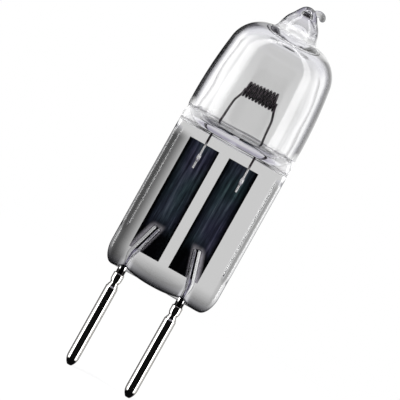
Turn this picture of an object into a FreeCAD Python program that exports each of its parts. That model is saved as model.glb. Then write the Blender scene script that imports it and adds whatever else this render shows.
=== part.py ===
"""Halogen capsule bulb with a two-pin base, built at real size.

Frame: millimetres, +Z up the bulb's axis, X across the two pins, Y through the flat pinch with the
front at -Y. The origin is the midpoint between the pins, on the plane where their wires leave the glass.
"""

import FreeCAD, Part
import math
import os

import Sketcher
from FreeCAD import Placement, Rotation, Vector

os.makedirs("parts", exist_ok=True)
doc = FreeCAD.newDocument("capsule_bulb")

# Driving dimensions, in millimetres and degrees. Heights are stacked: each one starts from the piece below it.
# The side lobes' depth is a share of their width.
DIMENSIONS = [
    # Two-pin base
    ("pin_pitch", 6.35),
    ("pin_diameter", 1.25),
    ("pin_barrel_length", 7.5),
    ("pin_nose_length", 0.95),
    ("pin_nose_flat", 0.45),
    ("bare_wire_length", 0.7),
    ("collar_top_diameter", 1.06),
    ("collar_diameter", 1.12),
    ("collar_length", 0.9),
    ("collar_chamfer", 0.06),
    ("crimp_diameter", 1.02),
    ("crimp_length", 0.5),
    ("crimp_ramp", 0.1),
    ("sleeve_bore_depth", 4.6),
    # Outer leads
    ("lead_diameter", 0.88),
    ("lead_end_clearance", 0.4),
    ("lead_bend_height", 1.2),
    ("lead_bend_radius", 2.4),
    ("lead_top_pitch", 4.3),
    ("lead_overlap", 2.9),
    ("lead_flat_depth", 0.06),
    ("press_margin", 0.1),
    # Foils
    ("foil_width", 3.15),
    ("foil_length", 11.9),
    ("foil_thickness", 0.03),
    ("foil_gap", 1.08),
    ("foil_bottom_height", 2.1),
    # Filament
    ("filament_wire_diameter", 0.24),
    ("filament_offset", 0.28),
    ("coil_diameter", 1.75),
    ("coil_length", 3.55),
    ("coil_rise", 5.15),
    ("coil_tilt", 2.5),
    ("leg_start_length", 0.5),
    ("leg_pitch", 4.66),
    ("leg_overlap", 2.5),
    ("leg_bend_radius", 2.0),
    ("leg_straight_length", 2.6),
    ("leg_flat_depth", 0.03),
    ("weld_width", 0.5),
    ("weld_length", 0.95),
    ("weld_thickness", 0.3),
    ("weld_chamfer", 0.08),
    ("weld_drop", 1.4),
    # Capsule
    ("glass_offset", 0.37),
    ("capsule_diameter", 11.6),
    ("capsule_wall", 0.95),
    ("capsule_height", 11.6),
    ("capsule_heel_radius", 1.6),
    ("barrel_height", 4.05),
    ("shoulder_radius", 3.3),
    ("shoulder_inset", 2.04),
    ("floor_thickness", 0.9),
    ("cavity_heel_radius", 0.65),
    ("seal_above_foils", 1.45),
    # Pinch
    ("pinch_margin", 2.625),
    ("pinch_thickness", 3.8),
    ("pinch_top_radius", 1.2),
    ("pinch_edge_radius", 0.7),
    ("pinch_end_radius", 1.3),
    ("middle_lobe_drop", 0.3),
    ("side_lobe_depth", 0.095),
    ("notch_radius", 0.5),
    ("throat_radius", 0.45),
    ("throat_inset", 0.15),
    ("bead_radius", 0.45),
    ("bead_proud", 0.15),
    ("bead_bottom_height", 4.2),
    ("bead_fade_length", 1.8),
    ("bead_top_margin", 0.35),
    ("capillary_clearance", 0.05),
    ("mouth_diameter", 1.35),
    ("mouth_depth", 0.35),
    # Exhaust tip
    ("tip_base_diameter", 4.2),
    ("tip_waist_diameter", 3.95),
    ("tip_waist_height", 0.7),
    ("tip_neck_diameter", 3.07),
    ("tip_neck_height", 1.8),
    ("tip_crown_radius", 1.15),
    ("tip_height", 3.1),
    ("channel_diameter", 1.4),
    ("channel_height", 0.95),
    ("tail_diameter", 0.62),
    ("tail_bend_radius", 0.5),
    ("tail_reach", 1.0),
    ("tail_drop", 0.6),
    ("tail_start_angle", 145.0),
    ("tail_end_angle", 20.0),
]

# Whole half turns of the coil: an odd number, so that one leg leaves at the back and the other at the front.
COIL_HALF_TURNS = 19
# Straight runs that stand for each half turn
HALF_TURN_STEPS = 6
# The filament's wire and the glass tail are swept with a few flat sides, which is as fine as their size needs.
WIRE_SIDES = 6
TAIL_SIDES = 8
# How far the sections of the round parts are turned about the axis, in degrees, clear of the pinch's faces.
SEAM_TURN = 45

sheet = doc.addObject("Spreadsheet::Sheet", "Sizes")
for row, (alias, value) in enumerate(DIMENSIONS, start=1):
    sheet.set(f"A{row}", alias)
    sheet.set(f"B{row}", str(value))
    sheet.setAlias(f"B{row}", alias)
doc.recompute()

# Heights above the origin
FOIL_TOP = "(Sizes.foil_bottom_height + Sizes.foil_length)"
CAPSULE_FLOOR = f"({FOIL_TOP} + Sizes.seal_above_foils)"
PINCH_TOP = f"({CAPSULE_FLOOR} + Sizes.capsule_heel_radius)"
CAVITY_FLOOR = f"({CAPSULE_FLOOR} + Sizes.floor_thickness)"
BARREL_TOP = f"({CAPSULE_FLOOR} + Sizes.barrel_height)"
CAPSULE_TOP = f"({CAPSULE_FLOOR} + Sizes.capsule_height)"
TIP_TOP = f"({CAPSULE_TOP} + Sizes.tip_height)"
COIL_HEIGHT = f"({CAPSULE_FLOOR} + Sizes.coil_rise)"
LEAD_TOP = "(Sizes.foil_bottom_height + Sizes.lead_overlap)"

# Heights below the origin, counted downwards
CRIMP_TOP = "(Sizes.bare_wire_length + Sizes.collar_length)"
CRIMP_LOW = f"({CRIMP_TOP} + Sizes.crimp_length)"
NOSE_TOP = f"({CRIMP_LOW} + Sizes.crimp_ramp + Sizes.pin_barrel_length)"
PIN_TIP = f"({NOSE_TOP} + Sizes.pin_nose_length)"
BORE_END = "(Sizes.bare_wire_length + Sizes.sleeve_bore_depth)"
LEAD_BOTTOM = f"({BORE_END} - Sizes.lead_end_clearance)"

# Shared radii and depths
OUTER_RADIUS = "(Sizes.capsule_diameter / 2)"
INNER_RADIUS = f"({OUTER_RADIUS} - Sizes.capsule_wall)"
LEAD_RADIUS = "(Sizes.lead_diameter / 2)"
WIRE_RADIUS = "(Sizes.filament_wire_diameter / 2)"
COIL_RADIUS = f"(Sizes.coil_diameter / 2 - {WIRE_RADIUS})"
# The wires lie in front of the foils and are pressed flat where they are welded to them.
FOIL_FACE = f"({LEAD_RADIUS} - Sizes.lead_flat_depth)"

START, END, CENTRE = range(1, 4)
ORIGIN_POINT = (-1, 1)
HORIZONTAL_AXIS = -1
VERTICAL_AXIS = -2


def size(formula):
    """Return the number that a formula on the sheet gives."""
    return float(sheet.evalExpression(formula.replace("Sizes.", "")))


def side_name(side):
    """Return the word for the right (1) or the left (-1)."""
    return "right" if side > 0 else "left"


def origin_plane(body, role):
    """Return one of a body's own origin planes."""
    return next(feature for feature in body.Origin.OriginFeatures if feature.Role == role)


def new_body(label):
    """Add an empty body."""
    body = doc.addObject("PartDesign::Body", label)
    body.Label = label
    return body


def new_sketch(body, name, role, offset="0"):
    """Add a sketch to a body, on one of the body's origin planes or at a distance along its normal."""
    sketch = body.newObject("Sketcher::SketchObject", name)
    sketch.AttachmentSupport = [(origin_plane(body, role), "")]
    sketch.MapMode = "FlatFace"
    if offset != "0":
        sketch.setExpression("AttachmentOffset.Base.z", offset)
    return sketch


def new_round_sketch(body, name):
    """Add a sketch for a round part, on an upright plane that keeps its seam clear of the pinch's faces."""
    sketch = new_sketch(body, name, "XZ_Plane")
    sketch.AttachmentOffset = Placement(Vector(0, 0, 0), Rotation(Vector(0, 1, 0), SEAM_TURN))
    return sketch


def dimension(sketch, formula, kind, *where):
    """Add one dimension to a sketch and bind it to the sheet."""
    index = sketch.addConstraint(Sketcher.Constraint(kind, *where, size(formula)))
    sketch.setExpression(f"Constraints[{index}]", formula)


def constrain(sketch, kind, *where):
    """Add one geometric constraint to a sketch."""
    sketch.addConstraint(Sketcher.Constraint(kind, *where))


def place(sketch, kind, formula, edge, point):
    """Set how far a point lies from the sketch's origin, across or up, on the side that its formula gives."""
    if size(formula) < 0:
        dimension(sketch, f"-{formula}", kind, edge, point, *ORIGIN_POINT)
    else:
        dimension(sketch, formula, kind, *ORIGIN_POINT, edge, point)


def place_x(sketch, formula, edge, point):
    """Set how far across a point lies."""
    place(sketch, "DistanceX", formula, edge, point)


def place_y(sketch, formula, edge, point):
    """Set how high a point lies."""
    place(sketch, "DistanceY", formula, edge, point)


def line(start, end):
    """Return a straight sketch line."""
    return Part.LineSegment(Vector(*start, 0), Vector(*end, 0))


def arc(centre, radius, start_angle, end_angle):
    """Return a sketch arc that runs anticlockwise between two angles in degrees."""
    circle = Part.Circle(Vector(*centre, 0), Vector(0, 0, 1), radius)
    return Part.ArcOfCircle(circle, math.radians(start_angle), math.radians(end_angle))


def on_circle(centre, radius, angle):
    """Return the point of a circle at an angle in degrees."""
    return (
        centre[0] + radius * math.cos(math.radians(angle)),
        centre[1] + radius * math.sin(math.radians(angle)),
    )


def angle_between(centre, point):
    """Return the direction from a centre to a point, in degrees."""
    return math.degrees(math.atan2(point[1] - centre[1], point[0] - centre[0]))


def circles_meet(first, first_radius, second, second_radius, side):
    """Return where two circles meet, to the left (1) or right (-1) of the line between their centres."""
    dx, dy = second[0] - first[0], second[1] - first[1]
    gap = math.hypot(dx, dy)
    along = (gap * gap + first_radius ** 2 - second_radius ** 2) / (2 * gap)
    across = side * math.sqrt(first_radius ** 2 - along * along)
    return (
        first[0] + (along * dx - across * dy) / gap,
        first[1] + (along * dy + across * dx) / gap,
    )


def add_loop(sketch, edges, closed=True):
    """Add a run of joined edges to a sketch.

    Each edge is (shape, forwards, smooth): whether the run follows it from its start to its end, and
    whether it runs on smoothly into the next edge.
    """
    for shape, _, _ in edges:
        sketch.addGeometry(shape, False)
    joints = len(edges) if closed else len(edges) - 1
    for index in range(joints):
        following = (index + 1) % len(edges)
        leaving = END if edges[index][1] else START
        entering = START if edges[following][1] else END
        kind = "Tangent" if edges[index][2] else "Coincident"
        constrain(sketch, kind, index, leaving, following, entering)


def add_outline(sketch, corners):
    """Add a closed outline of straight lines, with both formulas of every corner bound to the sheet."""
    points = [(size(x), size(y)) for x, y in corners]
    following = points[1:] + points[:1]
    add_loop(sketch, [(line(start, end), True, False) for start, end in zip(points, following)])
    for index, (x, y) in enumerate(corners):
        for axis, formula, setter in ((VERTICAL_AXIS, x, place_x), (HORIZONTAL_AXIS, y, place_y)):
            if formula == "0":
                constrain(sketch, "PointOnObject", index, START, axis)
            else:
                setter(sketch, formula, index, START)


def chord_points(centre, radius, angles):
    """Return the corners of a run of chords along an arc, as formulas."""
    return [
        (f"({centre[0]} + {radius} * cos({angle} deg))", f"({centre[1]} + {radius} * sin({angle} deg))")
        for angle in angles
    ]


def add_polygon(sketch, sides, radius):
    """Add a regular polygon about the sketch's origin, on a construction circle of the given radius."""
    reach = size(radius)
    corners = [on_circle((0, 0), reach, 360 * index / sides) for index in range(sides)]
    following = corners[1:] + corners[:1]
    add_loop(sketch, [(line(start, end), True, False) for start, end in zip(corners, following)])
    sketch.addGeometry(Part.Circle(Vector(0, 0, 0), Vector(0, 0, 1), reach), True)
    constrain(sketch, "Coincident", sides, CENTRE, *ORIGIN_POINT)
    dimension(sketch, radius, "Radius", sides)
    constrain(sketch, "PointOnObject", 0, START, HORIZONTAL_AXIS)
    for index in range(sides):
        constrain(sketch, "PointOnObject", index, START, sides)
        if index:
            constrain(sketch, "Equal", 0, index)


def pad(body, name, sketch, formula, reverse=False):
    """Raise a sketch into a solid of the given height."""
    feature = body.newObject("PartDesign::Pad", name)
    feature.Profile = sketch
    feature.Reversed = reverse
    feature.setExpression("Length", formula)
    doc.recompute()
    return feature


def revolve(body, name, sketch, kind="PartDesign::Revolution"):
    """Turn a sketch once round its own vertical axis, to add or to cut."""
    feature = body.newObject(kind, name)
    feature.Profile = sketch
    feature.ReferenceAxis = (sketch, ["V_Axis"])
    feature.Angle = 360
    doc.recompute()
    return feature


def dress(kind, body, name, base, edges, setting, formula):
    """Round or chamfer some edges of a body's last feature."""
    feature = body.newObject(kind, name)
    feature.Base = (base, edges)
    feature.setExpression(setting, formula)
    doc.recompute()
    return feature


def fillet(body, name, base, edges, formula):
    """Round some edges of a body's last feature."""
    return dress("PartDesign::Fillet", body, name, base, edges, "Radius", formula)


def sweep(body, name, path, radius, sides=0):
    """Sweep a round section, or one of a few flat sides, along a sketched path."""
    section = body.newObject("Sketcher::SketchObject", f"{name}_section")
    section.AttachmentSupport = [(path, "Edge1")]
    section.MapMode = "NormalToEdge"
    if sides:
        add_polygon(section, sides, radius)
    else:
        section.addGeometry(Part.Circle(Vector(0, 0, 0), Vector(0, 0, 1), size(radius)), False)
        constrain(section, "Coincident", 0, CENTRE, *ORIGIN_POINT)
        dimension(section, radius, "Radius", 0)
    pipe = body.newObject("PartDesign::AdditivePipe", name)
    pipe.Profile = section
    pipe.Spine = (path, [f"Edge{index + 1}" for index in range(path.GeometryCount)])
    doc.recompute()
    return pipe


# How far a measured edge may lie from where it is looked for
CLOSE = 1e-6


def edges_where(feature, test):
    """Return the names of a feature's edges whose boxes pass a test."""
    edges = enumerate(feature.Shape.Edges, start=1)
    return [f"Edge{index}" for index, edge in edges if test(edge.BoundBox)]


# Pinch. It reaches beyond the two pins by one margin. Along its bottom there is one glass lobe between the
# leads and one outside each of them.

PINCH_REACH = "(Sizes.pin_pitch / 2 + Sizes.pinch_margin)"
LEFT_CHORD = "(Sizes.pinch_margin - Sizes.glass_offset)"
RIGHT_CHORD = "(Sizes.pinch_margin + Sizes.glass_offset)"
# Each lobe: how far across its middle lies, its width and how far it hangs below its ends
LOBES = [
    (f"({LEFT_CHORD} / 2 - {PINCH_REACH})", LEFT_CHORD, f"(Sizes.side_lobe_depth * {LEFT_CHORD})"),
    ("(-Sizes.glass_offset)", "Sizes.pin_pitch", "Sizes.middle_lobe_drop"),
    (f"({PINCH_REACH} - {RIGHT_CHORD} / 2)", RIGHT_CHORD, f"(Sizes.side_lobe_depth * {RIGHT_CHORD})"),
]


def lobe_radius(chord, drop):
    """Return the formula for the radius of an arc with a given chord and rise."""
    return f"({chord} * {chord} / (8 * {drop}) + {drop} / 2)"


def draw_pinch(body):
    """Draw the slab's front outline, with its lobes and the notches where the leads leave."""
    half, top = size(PINCH_REACH), size(PINCH_TOP)
    corner, notch = size("Sizes.pinch_top_radius"), size("Sizes.notch_radius")
    radii = [size(lobe_radius(chord, drop)) for _, chord, drop in LOBES]
    lobes = [(size(x), radius - size(drop)) for (x, _, drop), radius in zip(LOBES, radii)]
    notches = [
        circles_meet(lobes[i], radii[i] + notch, lobes[i + 1], radii[i + 1] + notch, -1) for i in (0, 1)
    ]
    ends = []
    for index, x in ((0, -half), (2, half)):
        reach = x - lobes[index][0]
        ends.append((x, lobes[index][1] - math.sqrt(radii[index] ** 2 - reach * reach)))

    turns = [ends[0], *notches, ends[1]]
    bottom = []
    for index, (centre, radius) in enumerate(zip(lobes, radii)):
        angles = [angle_between(centre, turns[index + step]) for step in (0, 1)]
        bottom.append((arc(centre, radius, *angles), True, index < 2))
        if index < 2:
            angles = [angle_between(notches[index], lobes[index + step]) for step in (1, 0)]
            bottom.append((arc(notches[index], notch, *angles), False, True))
    sketch = new_sketch(body, "pinch_outline", "XZ_Plane")
    add_loop(sketch, bottom + [
        (line(ends[1], (half, top - corner)), True, True),
        (arc((half - corner, top - corner), corner, 0, 90), True, True),
        (line((half - corner, top), (corner - half, top)), True, True),
        (arc((corner - half, top - corner), corner, 90, 180), True, True),
        (line((-half, top - corner), ends[0]), True, False),
    ])
    for index, (x, chord, drop) in enumerate(LOBES):
        dimension(sketch, lobe_radius(chord, drop), "Radius", 2 * index)
        place_x(sketch, x, 2 * index, CENTRE)
        place_y(sketch, f"({lobe_radius(chord, drop)} - {drop})", 2 * index, CENTRE)
    for edges, radius in (((1, 3), "Sizes.notch_radius"), ((6, 8), "Sizes.pinch_top_radius")):
        for edge in edges:
            dimension(sketch, radius, "Radius", edge)
    right_side, top_line, left_side = 5, 7, 9
    constrain(sketch, "Vertical", right_side)
    constrain(sketch, "Horizontal", top_line)
    constrain(sketch, "Vertical", left_side)
    place_x(sketch, PINCH_REACH, right_side, START)
    place_x(sketch, f"(-{PINCH_REACH})", left_side, END)
    place_y(sketch, PINCH_TOP, top_line, START)
    return sketch


def build_pinch(body):
    """Press the flat slab: round ends front to back, then the softer edges of its two sides."""
    slab = pad(body, "pinch_slab", draw_pinch(body), "Sizes.pinch_thickness")
    slab.Midplane = True
    doc.recompute()
    half_thickness, half_width = size("Sizes.pinch_thickness / 2"), size(PINCH_REACH)
    lowest = size("Sizes.notch_radius")

    def at_the_bottom(box):
        return box.YLength < CLOSE and abs(abs(box.YMin) - half_thickness) < CLOSE and box.ZMax < lowest

    rounded = fillet(body, "pinch_end", slab, edges_where(slab, at_the_bottom), "Sizes.pinch_end_radius")

    def at_a_side(box):
        return box.XLength < CLOSE and abs(abs(box.XMin) - half_width) < CLOSE and box.ZLength > half_width

    fillet(body, "pinch_sides", rounded, edges_where(rounded, at_a_side), "Sizes.pinch_edge_radius")


def build_bead(body, side, face):
    """Add the rounded glass bead that the press leaves along one long edge of the pinch."""
    name = f"bead_{side_name(side)}_{'back' if face > 0 else 'front'}"
    radius, low = "Sizes.bead_radius", "Sizes.bead_bottom_height"
    top = f"({PINCH_TOP} - Sizes.bead_top_margin)"
    depth = "(Sizes.pinch_thickness / 2 + Sizes.bead_proud - Sizes.bead_radius)"
    sketch = new_sketch(body, f"{name}_profile", "XZ_Plane", f"{-face} * {depth}")
    sketch.setExpression("AttachmentOffset.Base.x", f"{side} * ({PINCH_REACH} - Sizes.bead_radius)")
    add_outline(sketch, [
        ("0", f"({low} - Sizes.bead_fade_length)"), (radius, low), (radius, f"({top} - {radius})"), ("0", top),
    ])
    revolve(body, name, sketch)


# Capsule

# Where the chords of each round part of its section end, in degrees
CAPSULE_HEEL_ANGLES = (-90, -60, -30, 0)
CAVITY_HEEL_ANGLES = (-90, 0)
SHOULDER_ANGLES = (6, 27, 48, 69, 90)
CAVITY_SHOULDER_ANGLES = (6, 34, 62, 90)
SHOULDER_CENTRE = ("Sizes.shoulder_inset", f"({CAPSULE_TOP} - Sizes.shoulder_radius)")


def build_capsule(body):
    """Blow the round capsule: flat floor, heel, straight barrel, drawn-in top and round shoulder."""
    heel_centre = (f"({OUTER_RADIUS} - Sizes.capsule_heel_radius)", PINCH_TOP)
    sketch = new_round_sketch(body, "capsule_profile")
    add_outline(sketch, [
        ("0", CAPSULE_FLOOR),
        *chord_points(heel_centre, "Sizes.capsule_heel_radius", CAPSULE_HEEL_ANGLES),
        (OUTER_RADIUS, BARREL_TOP),
        *chord_points(SHOULDER_CENTRE, "Sizes.shoulder_radius", SHOULDER_ANGLES),
        ("0", CAPSULE_TOP),
    ])
    revolve(body, "capsule", sketch)


def cut_cavity(body):
    """Hollow the capsule, with one wall thickness all round above its thicker floor."""
    heel_centre = (f"({INNER_RADIUS} - Sizes.cavity_heel_radius)", f"({CAVITY_FLOOR} + Sizes.cavity_heel_radius)")
    inner_shoulder = "(Sizes.shoulder_radius - Sizes.capsule_wall)"
    sketch = new_round_sketch(body, "cavity_profile")
    add_outline(sketch, [
        ("0", CAVITY_FLOOR),
        *chord_points(heel_centre, "Sizes.cavity_heel_radius", CAVITY_HEEL_ANGLES),
        (INNER_RADIUS, BARREL_TOP),
        *chord_points(SHOULDER_CENTRE, inner_shoulder, CAVITY_SHOULDER_ANGLES),
        ("0", f"({CAPSULE_TOP} - Sizes.capsule_wall)"),
    ])
    revolve(body, "cavity", sketch, "PartDesign::Groove")


# The chords of the hollow curve on each side
THROAT_ANGLES = (180, 150, 120, 90)


def build_throat(body):
    """Round the glass where the capsule's floor flows into the front and back of the pinch."""
    radius = "Sizes.throat_radius"
    reach, low = f"(Sizes.pinch_thickness / 2 + {radius})", f"({CAPSULE_FLOOR} - {radius})"
    hollow = chord_points((reach, low), radius, THROAT_ANGLES)
    front, back = ([(f"({side} * {y})", z) for y, z in hollow] for side in (-1, 1))
    top = f"({CAPSULE_FLOOR} + {radius})"
    sketch = new_sketch(body, "throat_profile", "YZ_Plane")
    add_outline(sketch, [*back, (reach, top), (f"(-{reach})", top), *reversed(front)])
    disc = f"({OUTER_RADIUS} - Sizes.capsule_heel_radius)"
    width = f"2 * (sqrt({disc} * {disc} - {reach} * {reach}) - Sizes.throat_inset)"
    throat = pad(body, "throat", sketch, width)
    throat.Midplane = True
    doc.recompute()


# Exhaust tip

# How deep the tip's section reaches into the dome's glass.
TIP_ROOT = f"({CAPSULE_TOP} - Sizes.capsule_wall / 2)"
# The crown's arc is drawn in chords, with their ends at these angles.
TIP_CROWN_ANGLES = (40, 60, 78)
# The channel's section starts inside the cavity, clear of its roof.
CHANNEL_START = f"({CAPSULE_TOP} - 1.5 * Sizes.capsule_wall)"


def build_tip(body):
    """Close the exhaust tube to a swelling cone with a round crown."""
    crown_centre = ("0", f"({TIP_TOP} - Sizes.tip_crown_radius)")
    sketch = new_round_sketch(body, "tip_profile")
    add_outline(sketch, [
        ("0", TIP_ROOT),
        ("(Sizes.tip_base_diameter / 2)", TIP_ROOT),
        ("(Sizes.tip_waist_diameter / 2)", f"({CAPSULE_TOP} + Sizes.tip_waist_height)"),
        ("(Sizes.tip_neck_diameter / 2)", f"({CAPSULE_TOP} + Sizes.tip_neck_height)"),
        *chord_points(crown_centre, "Sizes.tip_crown_radius", TIP_CROWN_ANGLES),
        ("0", TIP_TOP),
    ])
    revolve(body, "tip", sketch)


def build_tail(body):
    """Bend the thin drawn-out thread of glass that is left where the exhaust tube was melted off."""
    bend = "Sizes.tail_bend_radius"
    centre = ("Sizes.tail_reach", f"({TIP_TOP} - Sizes.tail_drop)")
    angles = [size("Sizes.tail_end_angle"), size("Sizes.tail_start_angle")]
    path = new_sketch(body, "tail_path", "XZ_Plane")
    path.addGeometry(arc(tuple(size(formula) for formula in centre), size(bend), *angles), False)
    dimension(path, bend, "Radius", 0)
    place_x(path, centre[0], 0, CENTRE)
    place_y(path, centre[1], 0, CENTRE)
    for point, name in ((START, "tail_end_angle"), (END, "tail_start_angle")):
        place_x(path, f"({centre[0]} + {bend} * cos(Sizes.{name} * 1 deg))", 0, point)
    sweep(body, "tail", path, "(Sizes.tail_diameter / 2)", TAIL_SIDES)


def cut_channel(body):
    """Open the exhaust channel from the cavity's roof to its melted end inside the tip."""
    radius = "(Sizes.channel_diameter / 2)"
    top = f"({CAPSULE_TOP} + Sizes.channel_height)"
    sketch = new_round_sketch(body, "channel_profile")
    add_outline(sketch, [
        ("0", CHANNEL_START),
        (radius, CHANNEL_START),
        (radius, f"({top} - {radius})"),
        *chord_points(("0", f"({top} - {radius})"), radius, (45,)),
        ("0", top),
    ])
    revolve(body, "channel", sketch, "PartDesign::Groove")


def build_blown_glass():
    """Build the envelope's glass before the metal is sealed into it."""
    body = new_body("blown_glass")
    body.setExpression("Placement.Base.x", "Sizes.glass_offset")
    build_pinch(body)
    build_capsule(body)
    build_throat(body)
    for side in (1, -1):
        for face in (1, -1):
            build_bead(body, side, face)
    build_tip(body)
    build_tail(body)
    cut_cavity(body)
    cut_channel(body)
    return body


# Foils, leads and pins

def build_foil(side):
    """Cut one molybdenum foil."""
    body = new_body(f"foil_{side_name(side)}")
    sketch = new_sketch(body, f"{body.Name}_outline", "XZ_Plane", f"-{FOIL_FACE}")
    inner, outer = f"({side} * Sizes.foil_gap / 2)", f"({side} * (Sizes.foil_gap / 2 + Sizes.foil_width))"
    low = "Sizes.foil_bottom_height"
    add_outline(sketch, [(inner, low), (outer, low), (outer, FOIL_TOP), (inner, FOIL_TOP)])
    pad(body, f"{body.Name}_sheet", sketch, "Sizes.foil_thickness", reverse=True)
    return body


def draw_lead_path(body, side, depth):
    """Draw a lead's route: straight up out of the pin, a soft bend, then in towards the middle."""
    bend = size("Sizes.lead_bend_radius")
    x, start = size("Sizes.pin_pitch / 2"), size("Sizes.lead_bend_height")
    target = (size("Sizes.lead_top_pitch / 2"), size(LEAD_TOP))
    centre = (x - bend, start)
    distance = math.hypot(target[0] - centre[0], target[1] - centre[1])
    angle = angle_between(centre, target) - math.degrees(math.acos(bend / distance))
    turn = on_circle(centre, bend, angle)
    angles = (0, angle) if side > 0 else (180 - angle, 180)
    path = new_sketch(body, f"{body.Name}_path", "XZ_Plane")
    add_loop(path, [
        (line((side * x, -size(depth)), (side * x, start)), True, True),
        (arc((side * centre[0], centre[1]), bend, *angles), side > 0, True),
        (line((side * turn[0], turn[1]), (side * target[0], target[1])), True, True),
    ], closed=False)
    constrain(path, "Vertical", 0)
    place_x(path, f"({side} * Sizes.pin_pitch / 2)", 0, START)
    place_y(path, f"(-{depth})", 0, START)
    place_y(path, "Sizes.lead_bend_height", 0, END)
    dimension(path, "Sizes.lead_bend_radius", "Radius", 1)
    place_x(path, f"({side} * Sizes.lead_top_pitch / 2)", 2, END)
    place_y(path, LEAD_TOP, 2, END)
    return path


def cut_away(body, name, role, offset, heights, reverse=False):
    """Take everything off a body beyond a plane that is parallel to one of its origin planes."""
    sketch = new_sketch(body, f"{name}_plane", role, offset)
    left, right = "(-Sizes.capsule_diameter)", "Sizes.capsule_diameter"
    low, high = heights
    add_outline(sketch, [(left, low), (right, low), (right, high), (left, high)])
    pocket = body.newObject("PartDesign::Pocket", name)
    pocket.Profile = sketch
    pocket.Type = "ThroughAll"
    pocket.Reversed = reverse
    doc.recompute()


def build_lead(side):
    """Bend one outer lead and press it flat where it lies on its foil."""
    body = new_body(f"outer_lead_{side_name(side)}")
    path = draw_lead_path(body, side, LEAD_BOTTOM)
    sweep(body, f"{body.Name}_wire", path, LEAD_RADIUS)
    pressed_from = "(Sizes.foil_bottom_height - Sizes.press_margin)"
    cut_away(body, f"{body.Name}_flat", "XZ_Plane", f"-{FOIL_FACE}", (pressed_from, f"(2 * {LEAD_TOP})"))
    return body


def build_capillary(side):
    """Shape the narrow gap that the glass leaves round a lead below its foil, with its wider mouth."""
    body = new_body(f"capillary_{side_name(side)}")
    path = draw_lead_path(body, side, "Sizes.bare_wire_length")
    sweep(body, f"{body.Name}_gap", path, f"({LEAD_RADIUS} + Sizes.capillary_clearance)")
    end = "(Sizes.foil_bottom_height - Sizes.press_margin)"
    reach = ("(-Sizes.capsule_diameter)", "Sizes.capsule_diameter")
    cut_away(body, f"{body.Name}_end", "XY_Plane", end, reach, reverse=True)
    mouth = new_sketch(body, f"{body.Name}_mouth_outline", "XY_Plane", "-Sizes.bare_wire_length")
    x = side * size("Sizes.pin_pitch / 2")
    mouth.addGeometry(Part.Circle(Vector(x, 0, 0), Vector(0, 0, 1), size("Sizes.mouth_diameter / 2")), False)
    dimension(mouth, "Sizes.mouth_diameter / 2", "Radius", 0)
    constrain(mouth, "PointOnObject", 0, CENTRE, HORIZONTAL_AXIS)
    place_x(mouth, f"({side} * Sizes.pin_pitch / 2)", 0, CENTRE)
    pad(body, f"{body.Name}_mouth", mouth, "Sizes.bare_wire_length + Sizes.mouth_depth")
    return body


# The chords of the nose's arc, and the slope of a drill's point, in degrees
NOSE_ANGLES = (0, 15, 30)
DRILL_ANGLE = 31


def build_sleeve(side):
    """Turn one nickel pin, drilled to fit its lead tightly, with the neck where it is crimped on."""
    body = new_body(f"pin_sleeve_{side_name(side)}")
    body.setExpression("Placement.Base.x", f"{side} * Sizes.pin_pitch / 2")
    outer, flat = "(Sizes.pin_diameter / 2)", "(Sizes.pin_nose_flat / 2)"
    collar_top, collar = "(Sizes.collar_top_diameter / 2)", "(Sizes.collar_diameter / 2)"
    crimp = "(Sizes.crimp_diameter / 2)"
    chamfer = "Sizes.collar_chamfer"
    top = "Sizes.bare_wire_length"
    step = f"({outer} - {flat})"
    nose = f"(({step} * {step} + Sizes.pin_nose_length * Sizes.pin_nose_length) / (2 * {step}))"
    rounded = [
        (f"({outer} - {nose} + {nose} * cos({angle} deg))", f"({NOSE_TOP} + {nose} * sin({angle} deg))")
        for angle in NOSE_ANGLES
    ]
    drill_point = f"({BORE_END} + {LEAD_RADIUS} * {math.tan(math.radians(DRILL_ANGLE)):.3f})"
    profile = [
        (LEAD_RADIUS, top),
        (f"({collar_top} - {chamfer})", top),
        (collar_top, f"({top} + {chamfer})"),
        (collar, CRIMP_TOP),
        (crimp, f"({CRIMP_TOP} + Sizes.crimp_length / 2)"),
        (collar, CRIMP_LOW),
        (outer, f"({CRIMP_LOW} + Sizes.crimp_ramp)"),
        *rounded,
        (flat, PIN_TIP),
        ("0", PIN_TIP),
        ("0", drill_point),
        (LEAD_RADIUS, BORE_END),
    ]
    sketch = new_sketch(body, f"{body.Name}_section", "XZ_Plane")
    add_outline(sketch, [(x, f"(-{depth})") for x, depth in profile])
    revolve(body, f"{body.Name}_metal", sketch)
    return body


# Filament

def coil_placement():
    """Return where the coil's middle lies and how it leans."""
    middle = Vector(size("Sizes.filament_offset"), 0, size(COIL_HEIGHT))
    return Placement(middle, Rotation(Vector(0, 1, 0), -size("Sizes.coil_tilt")))


def coil_edges():
    """Return the coil's centre line in short straight runs, from its left end at the back to its right at the front."""
    middle = coil_placement()
    radius = size(COIL_RADIUS)
    length = size(f"Sizes.coil_length - 2 * {WIRE_RADIUS}")
    steps = COIL_HALF_TURNS * HALF_TURN_STEPS
    corners = []
    for step in range(steps + 1):
        y, z = on_circle((0, 0), radius, 180 * step / HALF_TURN_STEPS)
        corners.append(middle.multVec(Vector(length * (step / steps - 0.5), y, z)))
    return [Part.makeLine(start, end) for start, end in zip(corners, corners[1:])]


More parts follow.
